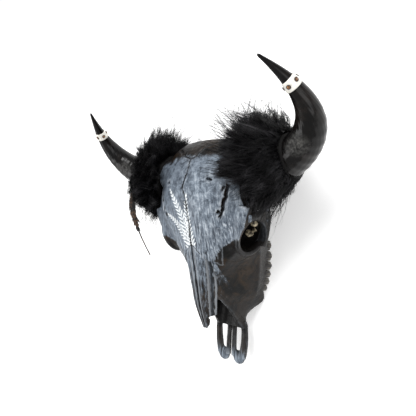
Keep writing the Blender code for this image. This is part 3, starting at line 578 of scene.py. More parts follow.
# Carving: (width, depth) of a suture and of a streak; then the lines on both sides, each as
# (path, (width, depth), jitter).
SUTURE = (0.0016, 0.0022)
STREAK = (0.0020, 0.0005)
PAIRED_LINES = [(BROW_GROOVE, (0.0026, 0.0080), 0.0006), (BROW_SLIT, (0.0022, 0.005), 0.0),
                (FORAMEN, (0.0028, 0.009), 0.0), (CROWN_PIT, (0.0030, 0.008), 0.0)]
PAIRED_LINES += [(path, STREAK, 0.0004) for path in ROOT_STREAKS + [LACRIMAL]]
PAIRED_LINES.append((BROW_FOLD, (0.0060, 0.0009), 0.0))
CARVED_ABOVE = 0.100
FULL_CREASE = 0.002


def fused(name, items, voxel, smooth):
    """Overlapping solids grown together into one skin."""
    made = joined(name, items)
    mod_applied(made, "REMESH", mode="VOXEL", voxel_size=voxel)
    mod_applied(made, "SMOOTH", factor=0.5, iterations=smooth)
    return made


def parted(item):
    """Separate objects for the closed surfaces of an object."""
    bpy.ops.object.select_all(action="DESELECT")
    item.select_set(True)
    bpy.context.view_layer.objects.active = item
    bpy.ops.mesh.separate(type="LOOSE")
    return list(bpy.context.selected_objects)


def vertex_values(item, key):
    """Place or normal of every vertex, as rows of three numbers."""
    rows = np.empty(len(item.data.vertices) * 3, np.float32)
    item.data.vertices.foreach_get(key, rows)
    return rows.reshape(-1, 3).astype(float)


def places(item):
    return vertex_values(item, "co")


def facings(item):
    return vertex_values(item, "normal")


def dense(path, step=0.0008, jitter=0.0, draw=None):
    """Points close together along a path, moved sideways a little where jitter is given."""
    points = []
    for (x0, y0), (x1, y1) in zip(path, path[1:]):
        count = max(1, int(math.hypot(x1 - x0, y1 - y0) / step))
        for i in range(count):
            t = i / count
            points.append((x0 + (x1 - x0) * t, y0 + (y1 - y0) * t))
    points.append(path[-1])
    if jitter:
        wave = [0.0]
        for _ in points[1:]:
            wave.append(wave[-1] * 0.86 + draw.uniform(-jitter, jitter))
        points = [(x + w, y + w * 0.6) for (x, y), w in zip(points, wave)]
    return points


def nearest(co, points):
    """Plan distance of each place to the nearest of the points."""
    tree = KDTree(len(points))
    for i, (x, y) in enumerate(points):
        tree.insert((x, y, 0.0), i)
    tree.balance()
    return np.array([tree.find((x, y, 0.0))[2] for x, y in co[:, :2]])


def carve(item, lines):
    """Cuts lines into the upward faces of a bone and keeps how deep each place was cut, for the painted shade
    in the cuts.
    """
    co = places(item)
    normals = facings(item)
    up = np.clip((normals[:, 2] - 0.10) / 0.30, 0.0, 1.0)
    cut = np.zeros(len(co))
    crease_shade = np.zeros(len(co))
    for points, (width, depth) in lines:
        flat = np.array(points)
        within = (co[:, :2] > flat.min(0) - 4 * width) & (co[:, :2] < flat.max(0) + 4 * width)
        near = (co[:, 2] > CARVED_ABOVE) & (up > 0) & within.all(1)
        away = nearest(co[near], points)
        full = min(1.0, depth / FULL_CREASE)
        cut[near] = np.maximum(cut[near], np.exp(-(away / width) ** 2) * up[near] * depth)
        crease_shade[near] = np.maximum(crease_shade[near], np.exp(-(away / (0.8 * width)) ** 2) * up[near] * full)
    item.data.vertices.foreach_set("co", (co - normals * cut[:, None]).astype(np.float32).ravel())
    item.data.update()
    keep_values(item, "crease_shade", crease_shade)


def keep_values(item, name, values):
    """Stores one number for each vertex, which the paint reads by name."""
    layer = item.data.attributes.get(name) or item.data.attributes.new(name, "FLOAT", "POINT")
    layer.data.foreach_set("value", values.astype(np.float32))


def roughened(item, amounts):
    """Moves the skin in and out with cloud noise of each (size, strength)."""
    for size, strength in amounts:
        texture = bpy.data.textures.new("bone_noise", "CLOUDS")
        texture.noise_scale = size
        texture.noise_depth = 3
        mod_applied(item, "DISPLACE", texture=texture, strength=strength, mid_level=0.5,
                    texture_coords="LOCAL")
        bpy.data.textures.remove(texture)


def skull_bones():
    """Whole skull, fused, hollowed and parted by its seams into named bones."""
    skull = fused("skull", bone_solids(), BONE_VOXEL, BONE_SMOOTH)
    cuts = [fused("hollow", bone_hollows(), BONE_VOXEL, HOLLOW_SMOOTH),
            box_between("floor_cut", (-0.2, -0.1, -0.05), (0.2, 0.6, 0.0))]
    cuts += both(nasal_solid("pocket", spread=2 * GAP, lift=POCKET_LIFT, rings=60, steps=16))
    cuts += [seam("face_seam", FACE_SEAM, -0.2, 0.2), seam("nose_seam", NOSE_SEAM, -0.2, 0.2),
             box_between("front_split", (-SEAM_WIDTH / 2, -0.02, 0.0),
                         (SEAM_WIDTH / 2, FRONT_SPLIT_END, 0.15))]
    for cut in cuts:
        mod_applied(skull, "BOOLEAN", operation="DIFFERENCE", object=cut, solver="MANIFOLD")
        bpy.data.objects.remove(cut, do_unlink=True)
    found = {}
    for piece in parted(skull):
        co = places(piece)
        size = (co.max(0) - co.min(0)).max()
        x, y, z = (co.max(0) + co.min(0)) / 2
        if y < PREMAX_REACH and abs(x) > SEAM_WIDTH:
            key = "premaxilla_left" if x > 0 else "premaxilla_right"
        else:
            key = "upper_jaw" if y < CRANIUM_BEGINS else "cranium"
        if size < SCRAP or (key in found and found[key][1] > size):
            bpy.data.objects.remove(piece, do_unlink=True)
            continue
        if key in found:
            bpy.data.objects.remove(found[key][0], do_unlink=True)
        found[key] = (piece, size)
    return {key: item for key, (item, size) in found.items()}


def bone_lines():
    """Every carved line as (points, (width, depth)), the paired ones on both sides."""
    draw = random.Random(11)
    lines = [(dense(MIDLINE, jitter=0.0009, draw=draw), SUTURE),
             (dense(CROWN_SUTURE, jitter=0.0016, draw=draw), SUTURE)]
    for path, size, jitter in PAIRED_LINES:
        for side in (1, -1):
            lines.append((dense([(side * x, y) for x, y in path], jitter=jitter, draw=draw), size))
    return lines


# Shallow grooves along each nasal bone: (share of its half width, (width, depth)).
NASAL_FLUTES = [(0.30, (0.0026, 0.0010)), (0.80, (0.0020, 0.0012))]


def nasal_bone(name):
    """Left nasal bone, fine, with shallow grooves along it."""
    bone = nasal_solid(name, rings=90, steps=22)
    mod_applied(bone, "REMESH", mode="VOXEL", voxel_size=0.0011)
    mod_applied(bone, "SMOOTH", factor=0.5, iterations=3)
    draw = random.Random(19)
    lines = []
    for share, size in NASAL_FLUTES:
        path = [(along(NASAL_HALF, y) * share, y) for y in spaced(0.100, 0.255, 24)]
        lines.append((dense(path, jitter=0.0002, draw=draw), size))
    carve(bone, lines)
    return bone


def tooth(name, x, y, length, width):
    """Cheek tooth with ribbed lobes, a waist at the gum and a worn grinding face on the floor."""
    rings = []
    for i in range(9):
        z = TOOTH_ROOT * i / 8
        scale = 0.97 + 0.05 * math.sin(math.pi * min(1.0, i / 5)) - 0.20 * max(0.0, (i - 4) / 4) ** 2
        ring = []
        for a in turned(64):
            rib = 1.0 + TOOTH_RIB * math.cos(6 * a) * (0.75 + 0.25 * math.cos(18 * a))
            ring.append(Vector((x + width / 2 * scale * rib * squared(math.cos(a)),
                                y + length / 2 * scale * squared(math.sin(a)), z)))
        rings.append(ring)
    return loft(name, rings)


def teeth():
    """All cheek teeth as one piece."""
    items = []
    y = TOOTH_START
    for i, (length, width) in enumerate(TEETH):
        middle = y + length / 2
        items += both(tooth("tooth_%d" % i, along(TOOTH_ROW, middle), middle, length, width))
        y += length + TOOTH_SPACE
    return joined("cheek_teeth", items)


# Horns in the render: rings along, points round, growth rings and their depth, depth of the fibres, and
# where the round tip begins and its length, both as shares of the horn.
RENDER_RINGS = 240
RENDER_SIDES = 72
GROWTH_RINGS = 17
GROWTH_DEPTH = 0.0007
FIBRE_DEPTH = 0.00022
TIP_BEGINS = 0.985
TIP_SHARE = 0.015


def horn_piece(name, side, draw):
    """Horn with growth rings near its root, fine fibres along it and a smooth tip."""
    rings = []
    phase = draw.uniform(0.0, 6.0)
    for i in range(RENDER_RINGS + 1):
        t = i / RENDER_RINGS
        point, ahead, across, third = horn_frame(max(0.006, min(t, 0.994)))
        point = curve_point(HORN_CURVE, t)
        fade = max(0.0, 1.0 - t / 0.80)
        ripple = GROWTH_DEPTH * fade * math.sin(2 * math.pi * GROWTH_RINGS * (1.0 - (1.0 - t) ** 1.6) + phase)
        size = horn_size(min(t, TIP_BEGINS))
        if t >= TIP_BEGINS:
            size *= math.sqrt(max(0.02, 1.0 - ((t - TIP_BEGINS) / TIP_SHARE) ** 2))
        ring = []
        for a in turned(RENDER_SIDES):
            grain = math.sin(23 * a + 3 * math.sin(9 * t)) + 0.7 * math.sin(37 * a + 11 * t)
            fibre = FIBRE_DEPTH * grain * min(1.0, 4 * (1.0 - t))
            wobble = 1.0 + 0.012 * math.sin(2 * a + 5 * t + phase) + 0.008 * math.sin(3 * a - 7 * t)
            ring.append(spoke(point, across, third, size * wobble + ripple * (0.6 + 0.4 * math.cos(a + phase))
                              + fibre, a))
        rings.append(ring)
    made = loft(name, rings)
    return made if side > 0 else flipped(made)


# Bands: how much wider than the horn they are, how deep the studs sit, a stone's share of the stud's
# radius, and the profiles of stone and cup as (height, share of the radius).
BAND_ROOM = 1.02
STUD_FOOT = 0.0004
STONE_SHARE = 0.86
STONE_PROFILE = [(0.0, 1.0), (0.0009, 0.97), (0.0017, 0.78), (0.0023, 0.45), (0.0025, 0.12)]
CUP_PROFILE = [(0.0, 1.12), (0.0008, 1.10), (0.0010, 0.98)]
CLAW_TURN = 0.785


def band_pieces(side):
    """White ring with rolled edges, and its studs with their dark claws."""
    profile = []
    for i in range(13):
        s = i / 12
        edge = 0.0005 * (math.exp(-(s / 0.07) ** 2) + math.exp(-((1.0 - s) / 0.07) ** 2))
        profile.append((s, BAND_THICK + edge - 0.0010 * (abs(2 * s - 1) ** 14)))
    loops = []
    for s, extra in profile + [(1.0, 0.0), (0.0, 0.0)]:
        t = BAND_START + (BAND_END - BAND_START) * s
        point, ahead, across, third = horn_frame(t)
        size = horn_size(t) * BAND_ROOM + GAP + extra
        loops.append([spoke(point, across, third, size, a) for a in turned(72)])
    band = ring_solid("band_ring", loops)
    stones = []
    claws = []
    middle = (BAND_START + BAND_END) / 2
    point, ahead, across, third = horn_frame(middle)
    radius = horn_size(middle) * BAND_ROOM + GAP + BAND_THICK
    for a in turned(STUDS):
        out = across * math.cos(a + STUD_TURN) + third * math.sin(a + STUD_TURN)
        aside = ahead.cross(out)
        foot = point + out * (radius - STUD_FOOT)
        for group, forms, share in ((stones, STONE_PROFILE, STONE_SHARE), (claws, CUP_PROFILE, 1.0)):
            group.append(loft("dish", [[foot + out * h + (aside * math.cos(b) + ahead * math.sin(b))
                                        * (STUD_RADIUS * r * share) for b in turned(20)] for h, r in forms]))
        for b in turned(4):
            arm = aside * math.cos(b + CLAW_TURN) + ahead * math.sin(b + CLAW_TURN)
            root = foot + arm * (STUD_RADIUS * 1.02)
            tip = foot + arm * (STUD_RADIUS * 0.55) + out * 0.0026
            claws.append(tube("claw", [root, (root + tip) / 2 + out * 0.0005, tip], [0.0007, 0.0006, 0.0004],
                              sides=8, side_axis=ahead))
    made = [band, joined("band_stones", stones), joined("band_claws", claws)]
    return made if side > 0 else [flipped(item) for item in made]


# Fur of the wraps: coats, tufts and strands in each tuft, and the same of the long wisps.
COATS = 2
TUFTS = 330
STRANDS = 26
WISPS = 34
WISP_STRANDS = 6

# Strands: radius, spread in a tuft, depth of a tuft's and of a strand's root under the wrap's core, the
# length that counts as full, bend points along one, and room between fur and bone.
STRAND_RADIUS = 0.00075
TUFT_SPREAD = 0.0065
TUFT_DEPTH = 0.72
ROOT_DEPTH = 0.70
FULL_LENGTH = 0.060
BENDS = (0.0, 0.28, 0.55, 0.80, 1.0)
FUR_ROOM = 0.0012
GROW_SHARE = 0.60
LIE_SHARE = 0.62
PATCH = 0.003

# How the fur lies: its lean over the skull, the lean of each side, how much further out it begins over
# the brow and ends on the near side, how far back and low it may reach, and the lengths that are tried
# where it would leave its place.
COAT_OVER_SKULL = 0.62
LEAN = {1: 1.0, -1: 0.45}
BARE_BROW = 0.085
NEAR_LIFT = 0.034
FUR_BACK = 0.572
FUR_LOW = 0.006
CUTS = (1.0, 0.86, 0.72, 0.58, 0.46, 0.36, 0.26, 0.17)

# Where the fur of each side ends, as seen from the front and above, on a level plane through the brow.
EYE = Vector((0.5439, -0.0084, 0.7457))
SEEN_LEVEL = 0.190
FUR_PLACE = {1: [(0.113, 0.530), (0.076, 0.530), (0.062, 0.504), (0.043, 0.461), (0.043, 0.432),
                 (0.068, 0.416), (0.126, 0.404), (0.132, 0.374), (0.144, 0.351), (0.169, 0.326),
                 (0.210, 0.334), (0.220, 0.351), (0.223, 0.377), (0.230, 0.392), (0.252, 0.406),
                 (0.293, 0.430), (0.226, 0.479), (0.212, 0.494), (0.188, 0.519), (0.162, 0.534)],
             -1: [(-0.116, 0.307), (-0.148, 0.330), (-0.217, 0.378), (-0.244, 0.424), (-0.242, 0.470),
                  (-0.259, 0.499), (-0.242, 0.537), (-0.191, 0.588), (-0.004, 0.556), (0.017, 0.308)]}


def coat_frame(t, a, side):
    """Wrap's frame with the fur begun further out over the brow, and ended further out on the near side."""
    moved = BARE_BROW * max(0.0, -math.cos(a)) * (1.0 - t / FUR_END)
    if side > 0:
        moved += NEAR_LIFT * max(0.0, math.sin(a)) * t / FUR_END
    return wrap_frame(t + moved, a)


def hide_piece(name, side):
    """The hide that the fur grows from, close round the horn's root and drawn in at its outer end."""
    rings = []
    for t in spaced(FUR_START, FUR_END, 46):
        size = wrap_size(t, 0.75 * min(1.0, (FUR_END - t) / 0.05) + 0.08)
        ring = []
        for a in turned(64):
            point, ahead, across, third, out = coat_frame(t, a, side)
            ring.append(point + out * (size * (1.0 + 0.012 * math.sin(5 * a + 9 * t))))
        rings.append(ring)
    made = loft(name, rings)
    return made if side > 0 else flipped(made)


def tuft_form(side, draw, wisp):
    """Where a tuft grows and how it lies: place along the horn, turn about it, length and two directions."""
    t = FUR_START + 0.004 + (FUR_END - 0.028) * draw.random() ** 0.85
    share = t / FUR_END
    a = 2 * math.pi * draw.random()
    if wisp and draw.random() < 0.75:
        a = draw.gauss(0.0, 0.8)
    point, ahead, across, third, out = coat_frame(t, a, side)
    low = max(0.0, -out.y)
    front = max(0.0, out.z)
    back = max(0.0, -out.z)
    lean = (0.15 + 1.05 * share) * (0.5 - 0.5 * out.y) * LEAN[side]
    lean += COAT_OVER_SKULL * front * (1.0 - 0.45 * low)
    if side < 0:
        lean -= 0.35 * share * low
    else:
        lean += 0.6 * back
        t *= 1.0 - 0.22 * min(1.0, 2.0 * back)
    lean += draw.uniform(-0.30, 0.30)
    length = (0.064 - 0.016 * share) * (1.0 + TUFT_TALL * abs(out.y)) * draw.uniform(0.62, 1.2)
    if share > 0.82:
        lean -= 0.45 if out.z > 0.3 else 0.0
        length *= 0.6 if out.z > 0.3 else 0.3
    if side > 0:
        length *= 1.0 - 0.62 * min(1.0, 1.3 * back) * min(1.0, max(0.0, 0.7 - out.y))
        length *= 1.0 - 0.48 * low * min(1.0, front * 1.6)
    else:
        length *= 1.0 - 0.22 * max(0.0, out.y)
    lie = (out * math.cos(1.4 * lean) - ahead * math.sin(1.4 * lean) + across * draw.uniform(-0.45, 0.45)
           + third * draw.uniform(-0.45, 0.45)).normalized()
    grow = (out * math.cos(0.5 * lean) - ahead * math.sin(0.5 * lean)).normalized()
    return t, a, length, grow, lie


def in_place(point, side, ease):
    """Whether a place in the fur, grown or shrunk a little by ease, lies where this side's fur belongs."""
    share = (SEEN_LEVEL - EYE.z) / (point.z - EYE.z)
    x = EYE.x + (side * point.x - EYE.x) * share
    y = EYE.y + (point.y - EYE.y) * share + ease
    x += side * ease
    within = False
    edge = FUR_PLACE[side]
    for (x0, y0), (x1, y1) in zip(edge, edge[1:] + edge[:1]):
        if (y0 > y) != (y1 > y) and x < x0 + (x1 - x0) * (y - y0) / (y1 - y0):
            within = not within
    return within


def shaken(draw, size):
    """Random step of up to size along each axis."""
    return Vector((draw.uniform(-1, 1), draw.uniform(-1, 1), draw.uniform(-1, 1))) * size


def fur_root(t, a, side, depth):
    """Where a hair grows, the way out of the wrap there and the wrap's radius."""
    point, ahead, across, third, out = coat_frame(t, a, side)
    size = wrap_size(t, depth)
    return point + out * size, out, size


def kept_in(line):
    """The line shrunk towards its root until it stays within the fur's reach back and down."""
    root = line[0]
    back = max(p.y for p in line)
    low = min(p.z for p in line)
    short = min((FUR_BACK - root.y) / (back - root.y) if back > FUR_BACK else 1.0,
                (root.z - FUR_LOW) / (root.z - low) if low < FUR_LOW else 1.0)
    return [root + (p - root) * short for p in line]


def add_strand(verts, faces, line, thick):
    """Closed three-sided strand that tapers to a point along a line."""
    base = len(verts)
    for i, p in enumerate(line[:-1]):
        ahead = (line[i + 1] - p).normalized()
        aside = ahead.orthogonal().normalized()
        verts += [spoke(p, aside, ahead.cross(aside), thick * (1.0 - 0.20 * i), b) for b in turned(3)]
    verts.append(line[-1])
    last = base + 3 * (len(line) - 2)
    for low in range(base, last, 3):
        faces += [(low, low + 1, low + 4, low + 3), (low + 1, low + 2, low + 5, low + 4),
                  (low + 2, low, low + 3, low + 5)]
    faces += [(last, last + 1, last + 3), (last + 1, last + 2, last + 3), (last + 2, last, last + 3),
              (base + 2, base + 1, base)]
    return base


def coat_piece(name, side, bone, draw):
    """Long wavy fur in tufts, as closed tapered strands that lie over the bone and hang free elsewhere."""
    verts = []
    faces = []
    patches = []
    for tuft in range(TUFTS + WISPS):
        wisp = tuft >= TUFTS
        t, a, length, grow, lie = tuft_form(side, draw, wisp)
        length *= draw.uniform(1.2, 1.65) if wisp else 1.0
        foot, out, size = fur_root(t, a, side, TUFT_DEPTH)
        loose_share = length / FULL_LENGTH
        curl = shaken(draw, 0.009 * loose_share)
        tip = foot + grow * (length * GROW_SHARE) + lie * (length * LIE_SHARE) + curl
        swing = grow.cross(lie + curl * 20).normalized() * (draw.uniform(-0.012, 0.012) * loose_share)
        sway = shaken(draw, (0.014 if wisp else 0.0065) * loose_share)
        phase = draw.uniform(0.0, 6.28)
        beat = 8.0 if wisp else 5.0
        apart = draw.gauss(0.0, 0.009)
        # How light a tuft's strands are: the fur's own tone in part, painted glints in part.
        shade = draw.random() ** 4 * 0.9
        for strand in range(WISP_STRANDS if wisp else STRANDS):
            ease = apart + draw.gauss(0.0, 0.002)
            a1 = a + draw.gauss(0.0, TUFT_SPREAD / size)
            t1 = min(max(FUR_START, t + draw.gauss(0.0, TUFT_SPREAD / 0.33)), FUR_END - 0.010)
            root, out1, size1 = fur_root(t1, a1, side, ROOT_DEPTH)
            while side > 0 and t1 < 0.16 and not in_place(root, side, ease):
                t1 += 0.015
                root, out1, size1 = fur_root(t1, a1, side, ROOT_DEPTH)
            stray = draw.random() < 0.07
            reach = draw.uniform(0.74, 1.04) * (1.15 if stray else 1.0)
            gather = draw.uniform(0.0, 0.6) if stray or wisp else draw.uniform(0.78, 0.97)
            free = root + grow * (length * GROW_SHARE) + lie * (length * LIE_SHARE)
            goal = root + (tip * gather + free * (1.0 - gather) - root) * reach
            if not (stray and draw.random() < 0.5) and not wisp:
                full = goal - root
                for cut in CUTS:
                    goal = root + full * cut
                    if in_place(above(bone, goal, FUR_ROOM), side, ease):
                        break
            knee = root + (grow * 0.70 + out1 * 0.30) * ((goal - root).length * 0.52) + swing
            wave = shaken(draw, 0.0080 if stray else 0.0022)
            turn = draw.uniform(0.0, 6.28)
            line = [root * (1 - s) ** 2 + knee * (2 * s * (1 - s)) + goal * (s * s)
                    + wave * math.sin(6.0 * s + turn) * s
                    + sway * (math.sin(beat * s + phase) - math.sin(phase)) * s for s in BENDS]
            line = kept_in([root] + [above(bone, p, FUR_ROOM) for p in line[1:]])
            thick = STRAND_RADIUS * draw.uniform(0.75, 1.25) * (0.7 if stray else 1.0)
            base = add_strand(verts, faces, line, thick)
            patches.append((base, len(verts), (a1 / (2 * math.pi)) % 1.0, min(1.0, t1 / FUR_END),
                            shade + 0.5 * draw.random() ** 5))
    mesh = bpy.data.meshes.new(name)
    mesh.from_pydata([v[:] for v in verts], [], faces)
    mesh.update()
    made = linked(name, mesh)
    add_patches(made, patches)
    return made if side > 0 else flipped(made)


def add_patches(item, patches):
    """A small patch of the wrap's unrolled skin for each strand, and how far along it each vertex lies."""
    mesh = item.data
    spots = np.zeros((len(mesh.vertices), 2))
    lit = np.zeros(len(mesh.vertices))
    shades = np.zeros(len(mesh.vertices))
    for start, end, u, v, shade in patches:
        span = end - start
        spots[start:end, 0] = 0.02 + 0.94 * u + PATCH * (np.arange(span) % 3) / 3
        spots[start:end, 1] = 0.02 + 0.94 * v + PATCH * np.arange(span) / span
        lit[start:end] = np.linspace(0.0, 1.0, span)
        shades[start:end] = shade
    layer = mesh.uv_layers.new(name="OFBake")
    loops = np.empty(len(mesh.loops), np.int32)
    mesh.loops.foreach_get("vertex_index", loops)
    layer.data.foreach_set("uv", spots[loops].astype(np.float32).ravel())
    keep_values(item, "tip", lit)
    keep_values(item, "shade", shades)


def above(bone, point, room):
    """The point, or the place just outside the bone where it lies within the bone."""
    spot, normal, index, away = bone.find_nearest(point)
    if spot is None or (point - spot).dot(normal) > room:
        return point
    if (point - spot).length > 0.05:
        return point
    return spot + normal * room


# Feather: barbs on each side of its shaft.
BARBS = 200


def feather_piece(name, draw):
    """Narrow ragged feather: a shaft with short barbs that thin out before the bare quill."""
    points = [curve_point(FEATHER_CURVE, i / 60) for i in range(61)]
    radii = [SHAFT_RADIUS * (1.0 - 0.25 * i / 60) for i in range(61)]
    items = [tube("shaft", points, radii, sides=10, side_axis=Vector((1, 0, 0)))]
    for i in range(BARBS):
        t = 0.05 + 0.72 * i / BARBS
        if t > 0.62 and draw.random() < (t - 0.62) * 5:
            continue
        point = curve_point(FEATHER_CURVE, t)
        ahead = (curve_point(FEATHER_CURVE, t + 0.01) - curve_point(FEATHER_CURVE, t - 0.01)).normalized()
        across = (FEATHER_SIDE - ahead * FEATHER_SIDE.dot(ahead)).normalized()
        face = ahead.cross(across)
        full = FEATHER_HALF * math.sin(math.pi * min(1.0, (t + VANE_LEAD) / 0.86)) ** 0.5
        for way in (1, -1):
            length = full * draw.uniform(0.65, 1.25) * (1.9 if way > 0 and 0.56 < t < 0.60 else 1.0)
            lift = face * (length * draw.uniform(-0.30, 0.30))
            line = [point, point + across * (way * length * 0.55) + ahead * (length * 0.55) + lift * 0.4,
                    point + across * (way * length) + ahead * (length * 1.5) + lift]
            items.append(tube("barb", line, [0.0008, 0.0011, 0.0002], sides=6, flat=0.40, side_axis=face))
    return joined(name, items)


def rgb(*levels):
    """Linear colour of an sRGB colour given as red, green and blue from 0 to 255."""
    return tuple(((c / 255 + 0.055) / 1.055) ** 2.4 if c > 10 else c / 255 / 12.92 for c in levels) + (1.0,)


class Signal:
    """A number or colour in a material; reckoning with it adds the nodes that do so."""

    def __init__(self, paint, socket):
        self.paint = paint
        self.socket = socket

    def __add__(self, other):
        return self.paint.math("ADD", self, other)

    def __sub__(self, other):
        return self.paint.math("SUBTRACT", self, other)

    def __rsub__(self, other):
        return self.paint.math("SUBTRACT", other, self)

    def __mul__(self, other):
        return self.paint.math("MULTIPLY", self, other)

    def __truediv__(self, other):
        return self.paint.math("DIVIDE", self, other)

    def __abs__(self):
        return self.paint.math("ABSOLUTE", self)


class Paint:
    """Small helper that adds nodes to a material and links them."""

    def __init__(self, name, roughness=0.5, **sockets):
        self.material = bpy.data.materials.new(name)
        self.material.use_nodes = True
        self.tree = self.material.node_tree
        self.shader = self.tree.nodes["Principled BSDF"]
        self.put(self.shader.inputs["Roughness"], roughness)
        for key, value in sockets.items():
            self.put(self.shader.inputs[key.replace("_", " ")], value)
        self.coords = self.node("TexCoord", {}, "Object")

    def put(self, socket, value):
        if isinstance(value, Signal):
            self.tree.links.new(value.socket, socket)
        else:
            socket.default_value = value

    def node(self, kind, inputs, output=0, **settings):
        """Adds a node with its settings and inputs, and gives one of its outputs."""
        made = self.tree.nodes.new("ShaderNode" + kind)
        for key, value in settings.items():
            setattr(made, key, value)
        for key, value in inputs.items():
            self.put(made.inputs[key], value)
        return Signal(self, made.outputs[output])

    def math(self, operation, *values, clamp=False):
        return self.node("Math", dict(enumerate(values)), operation=operation, use_clamp=clamp)

    def value(self, name):
        """Number that the mesh keeps at each vertex under a name."""
        return self.node("Attribute", {}, "Fac", attribute_name=name)

    def axis(self, number):
        """Place along one of the three axes."""
        return self.node("SeparateXYZ", {0: self.coords}, number)

    def noise(self, scale, detail=6.0, rough=0.6, stretch=(1, 1, 1), bend=0.0):
        place = self.node("Mapping", {"Scale": stretch, "Vector": self.coords})
        return self.node("TexNoise", {"Scale": scale, "Detail": detail, "Roughness": rough,
                                      "Distortion": bend, "Vector": place}, "Fac")

    def ramp(self, value, low, high, start=0.0, end=1.0):
        """Smooth step from start to end while the value goes from low to high."""
        return self.node("MapRange", {"From Min": low, "From Max": high, "To Min": start, "To Max": end,
                                      "Value": value}, interpolation_type="SMOOTHSTEP")

    def mix(self, factor, first, second):
        return self.node("Mix", {"Factor": factor, 6: first, 7: second}, 2, data_type="RGBA")

    def layers(self, color, coats):
        """A colour under others, each as (how much of it shows, its colour)."""
        for share, tone in coats:
            color = self.mix(share, color, tone)
        return color

    def bump(self, height, strength, distance):
        relief = self.node("Bump", {"Strength": strength, "Distance": distance, "Height": height})
        self.put(self.shader.inputs["Normal"], relief)

    def done(self, color, roughness=None):
        self.put(self.shader.inputs["Base Color"], color)
        if roughness is not None:
            self.put(self.shader.inputs["Roughness"], roughness)
        return self.material


def frond(paint, x, y, start, end, bow, reach, pitch):
    """Mask of a leafy stem on the forehead, from start to end in plan, with paired pointed leaves."""
    length = math.dist(start, end)
    ax = (end[0] - start[0]) / length
    ay = (end[1] - start[1]) / length
    dx = x - start[0]
    dy = y - start[1]
    u = dx * ax + dy * ay
    share = u / length
    v = abs(dx * ay - dy * ax - paint.math("SINE", share * math.pi) * bow)
    inside = paint.ramp(share, 0.0, 0.03) * paint.ramp(share, 0.97, 1.0, 1.0, 0.0)
    cell = abs(paint.math("FRACT", (u - v * LEAF_SLANT) / pitch) - 0.5) * pitch
    leaf = paint.math("POWER", paint.math("SUBTRACT", 1.0, share, clamp=True), 0.55) * reach
    outward = v / paint.math("MAXIMUM", leaf, 0.0006)
    half = paint.math("SINE", outward * math.pi) * (LEAF_HALF * pitch)
    on_leaf = paint.ramp(half - cell, -0.0002, 0.0006) * paint.ramp(outward, 0.94, 1.0, 1.0, 0.0)
    on_stem = paint.ramp(v, 0.0005, 0.0011, 1.0, 0.0)
    return paint.math("MAXIMUM", on_leaf, on_stem) * inside


# Leafy sprays on the forehead: start and end in plan, bow, reach of the leaves and pitch; and how far
# the leaves slant and their half width, both as shares.
FRONDS = [((-0.004, -0.020), (-0.050, 0.104), 0.010, 0.017, 0.0088),
          ((0.002, -0.016), (0.006, 0.092), -0.006, 0.014, 0.0080),
          ((-0.012, -0.006), (-0.070, 0.052), 0.008, 0.012, 0.0072)]
LEAF_SLANT = 0.95
LEAF_HALF = 0.34

# Painted lines along each nasal bone: share of its half width, width of the line, and how light it is.
NASAL_LINES = [(0.00, 0.09, 12), (0.17, 0.06, 132), (0.74, 0.05, 122), (0.86, 0.06, 18), (0.97, 0.05, 128)]


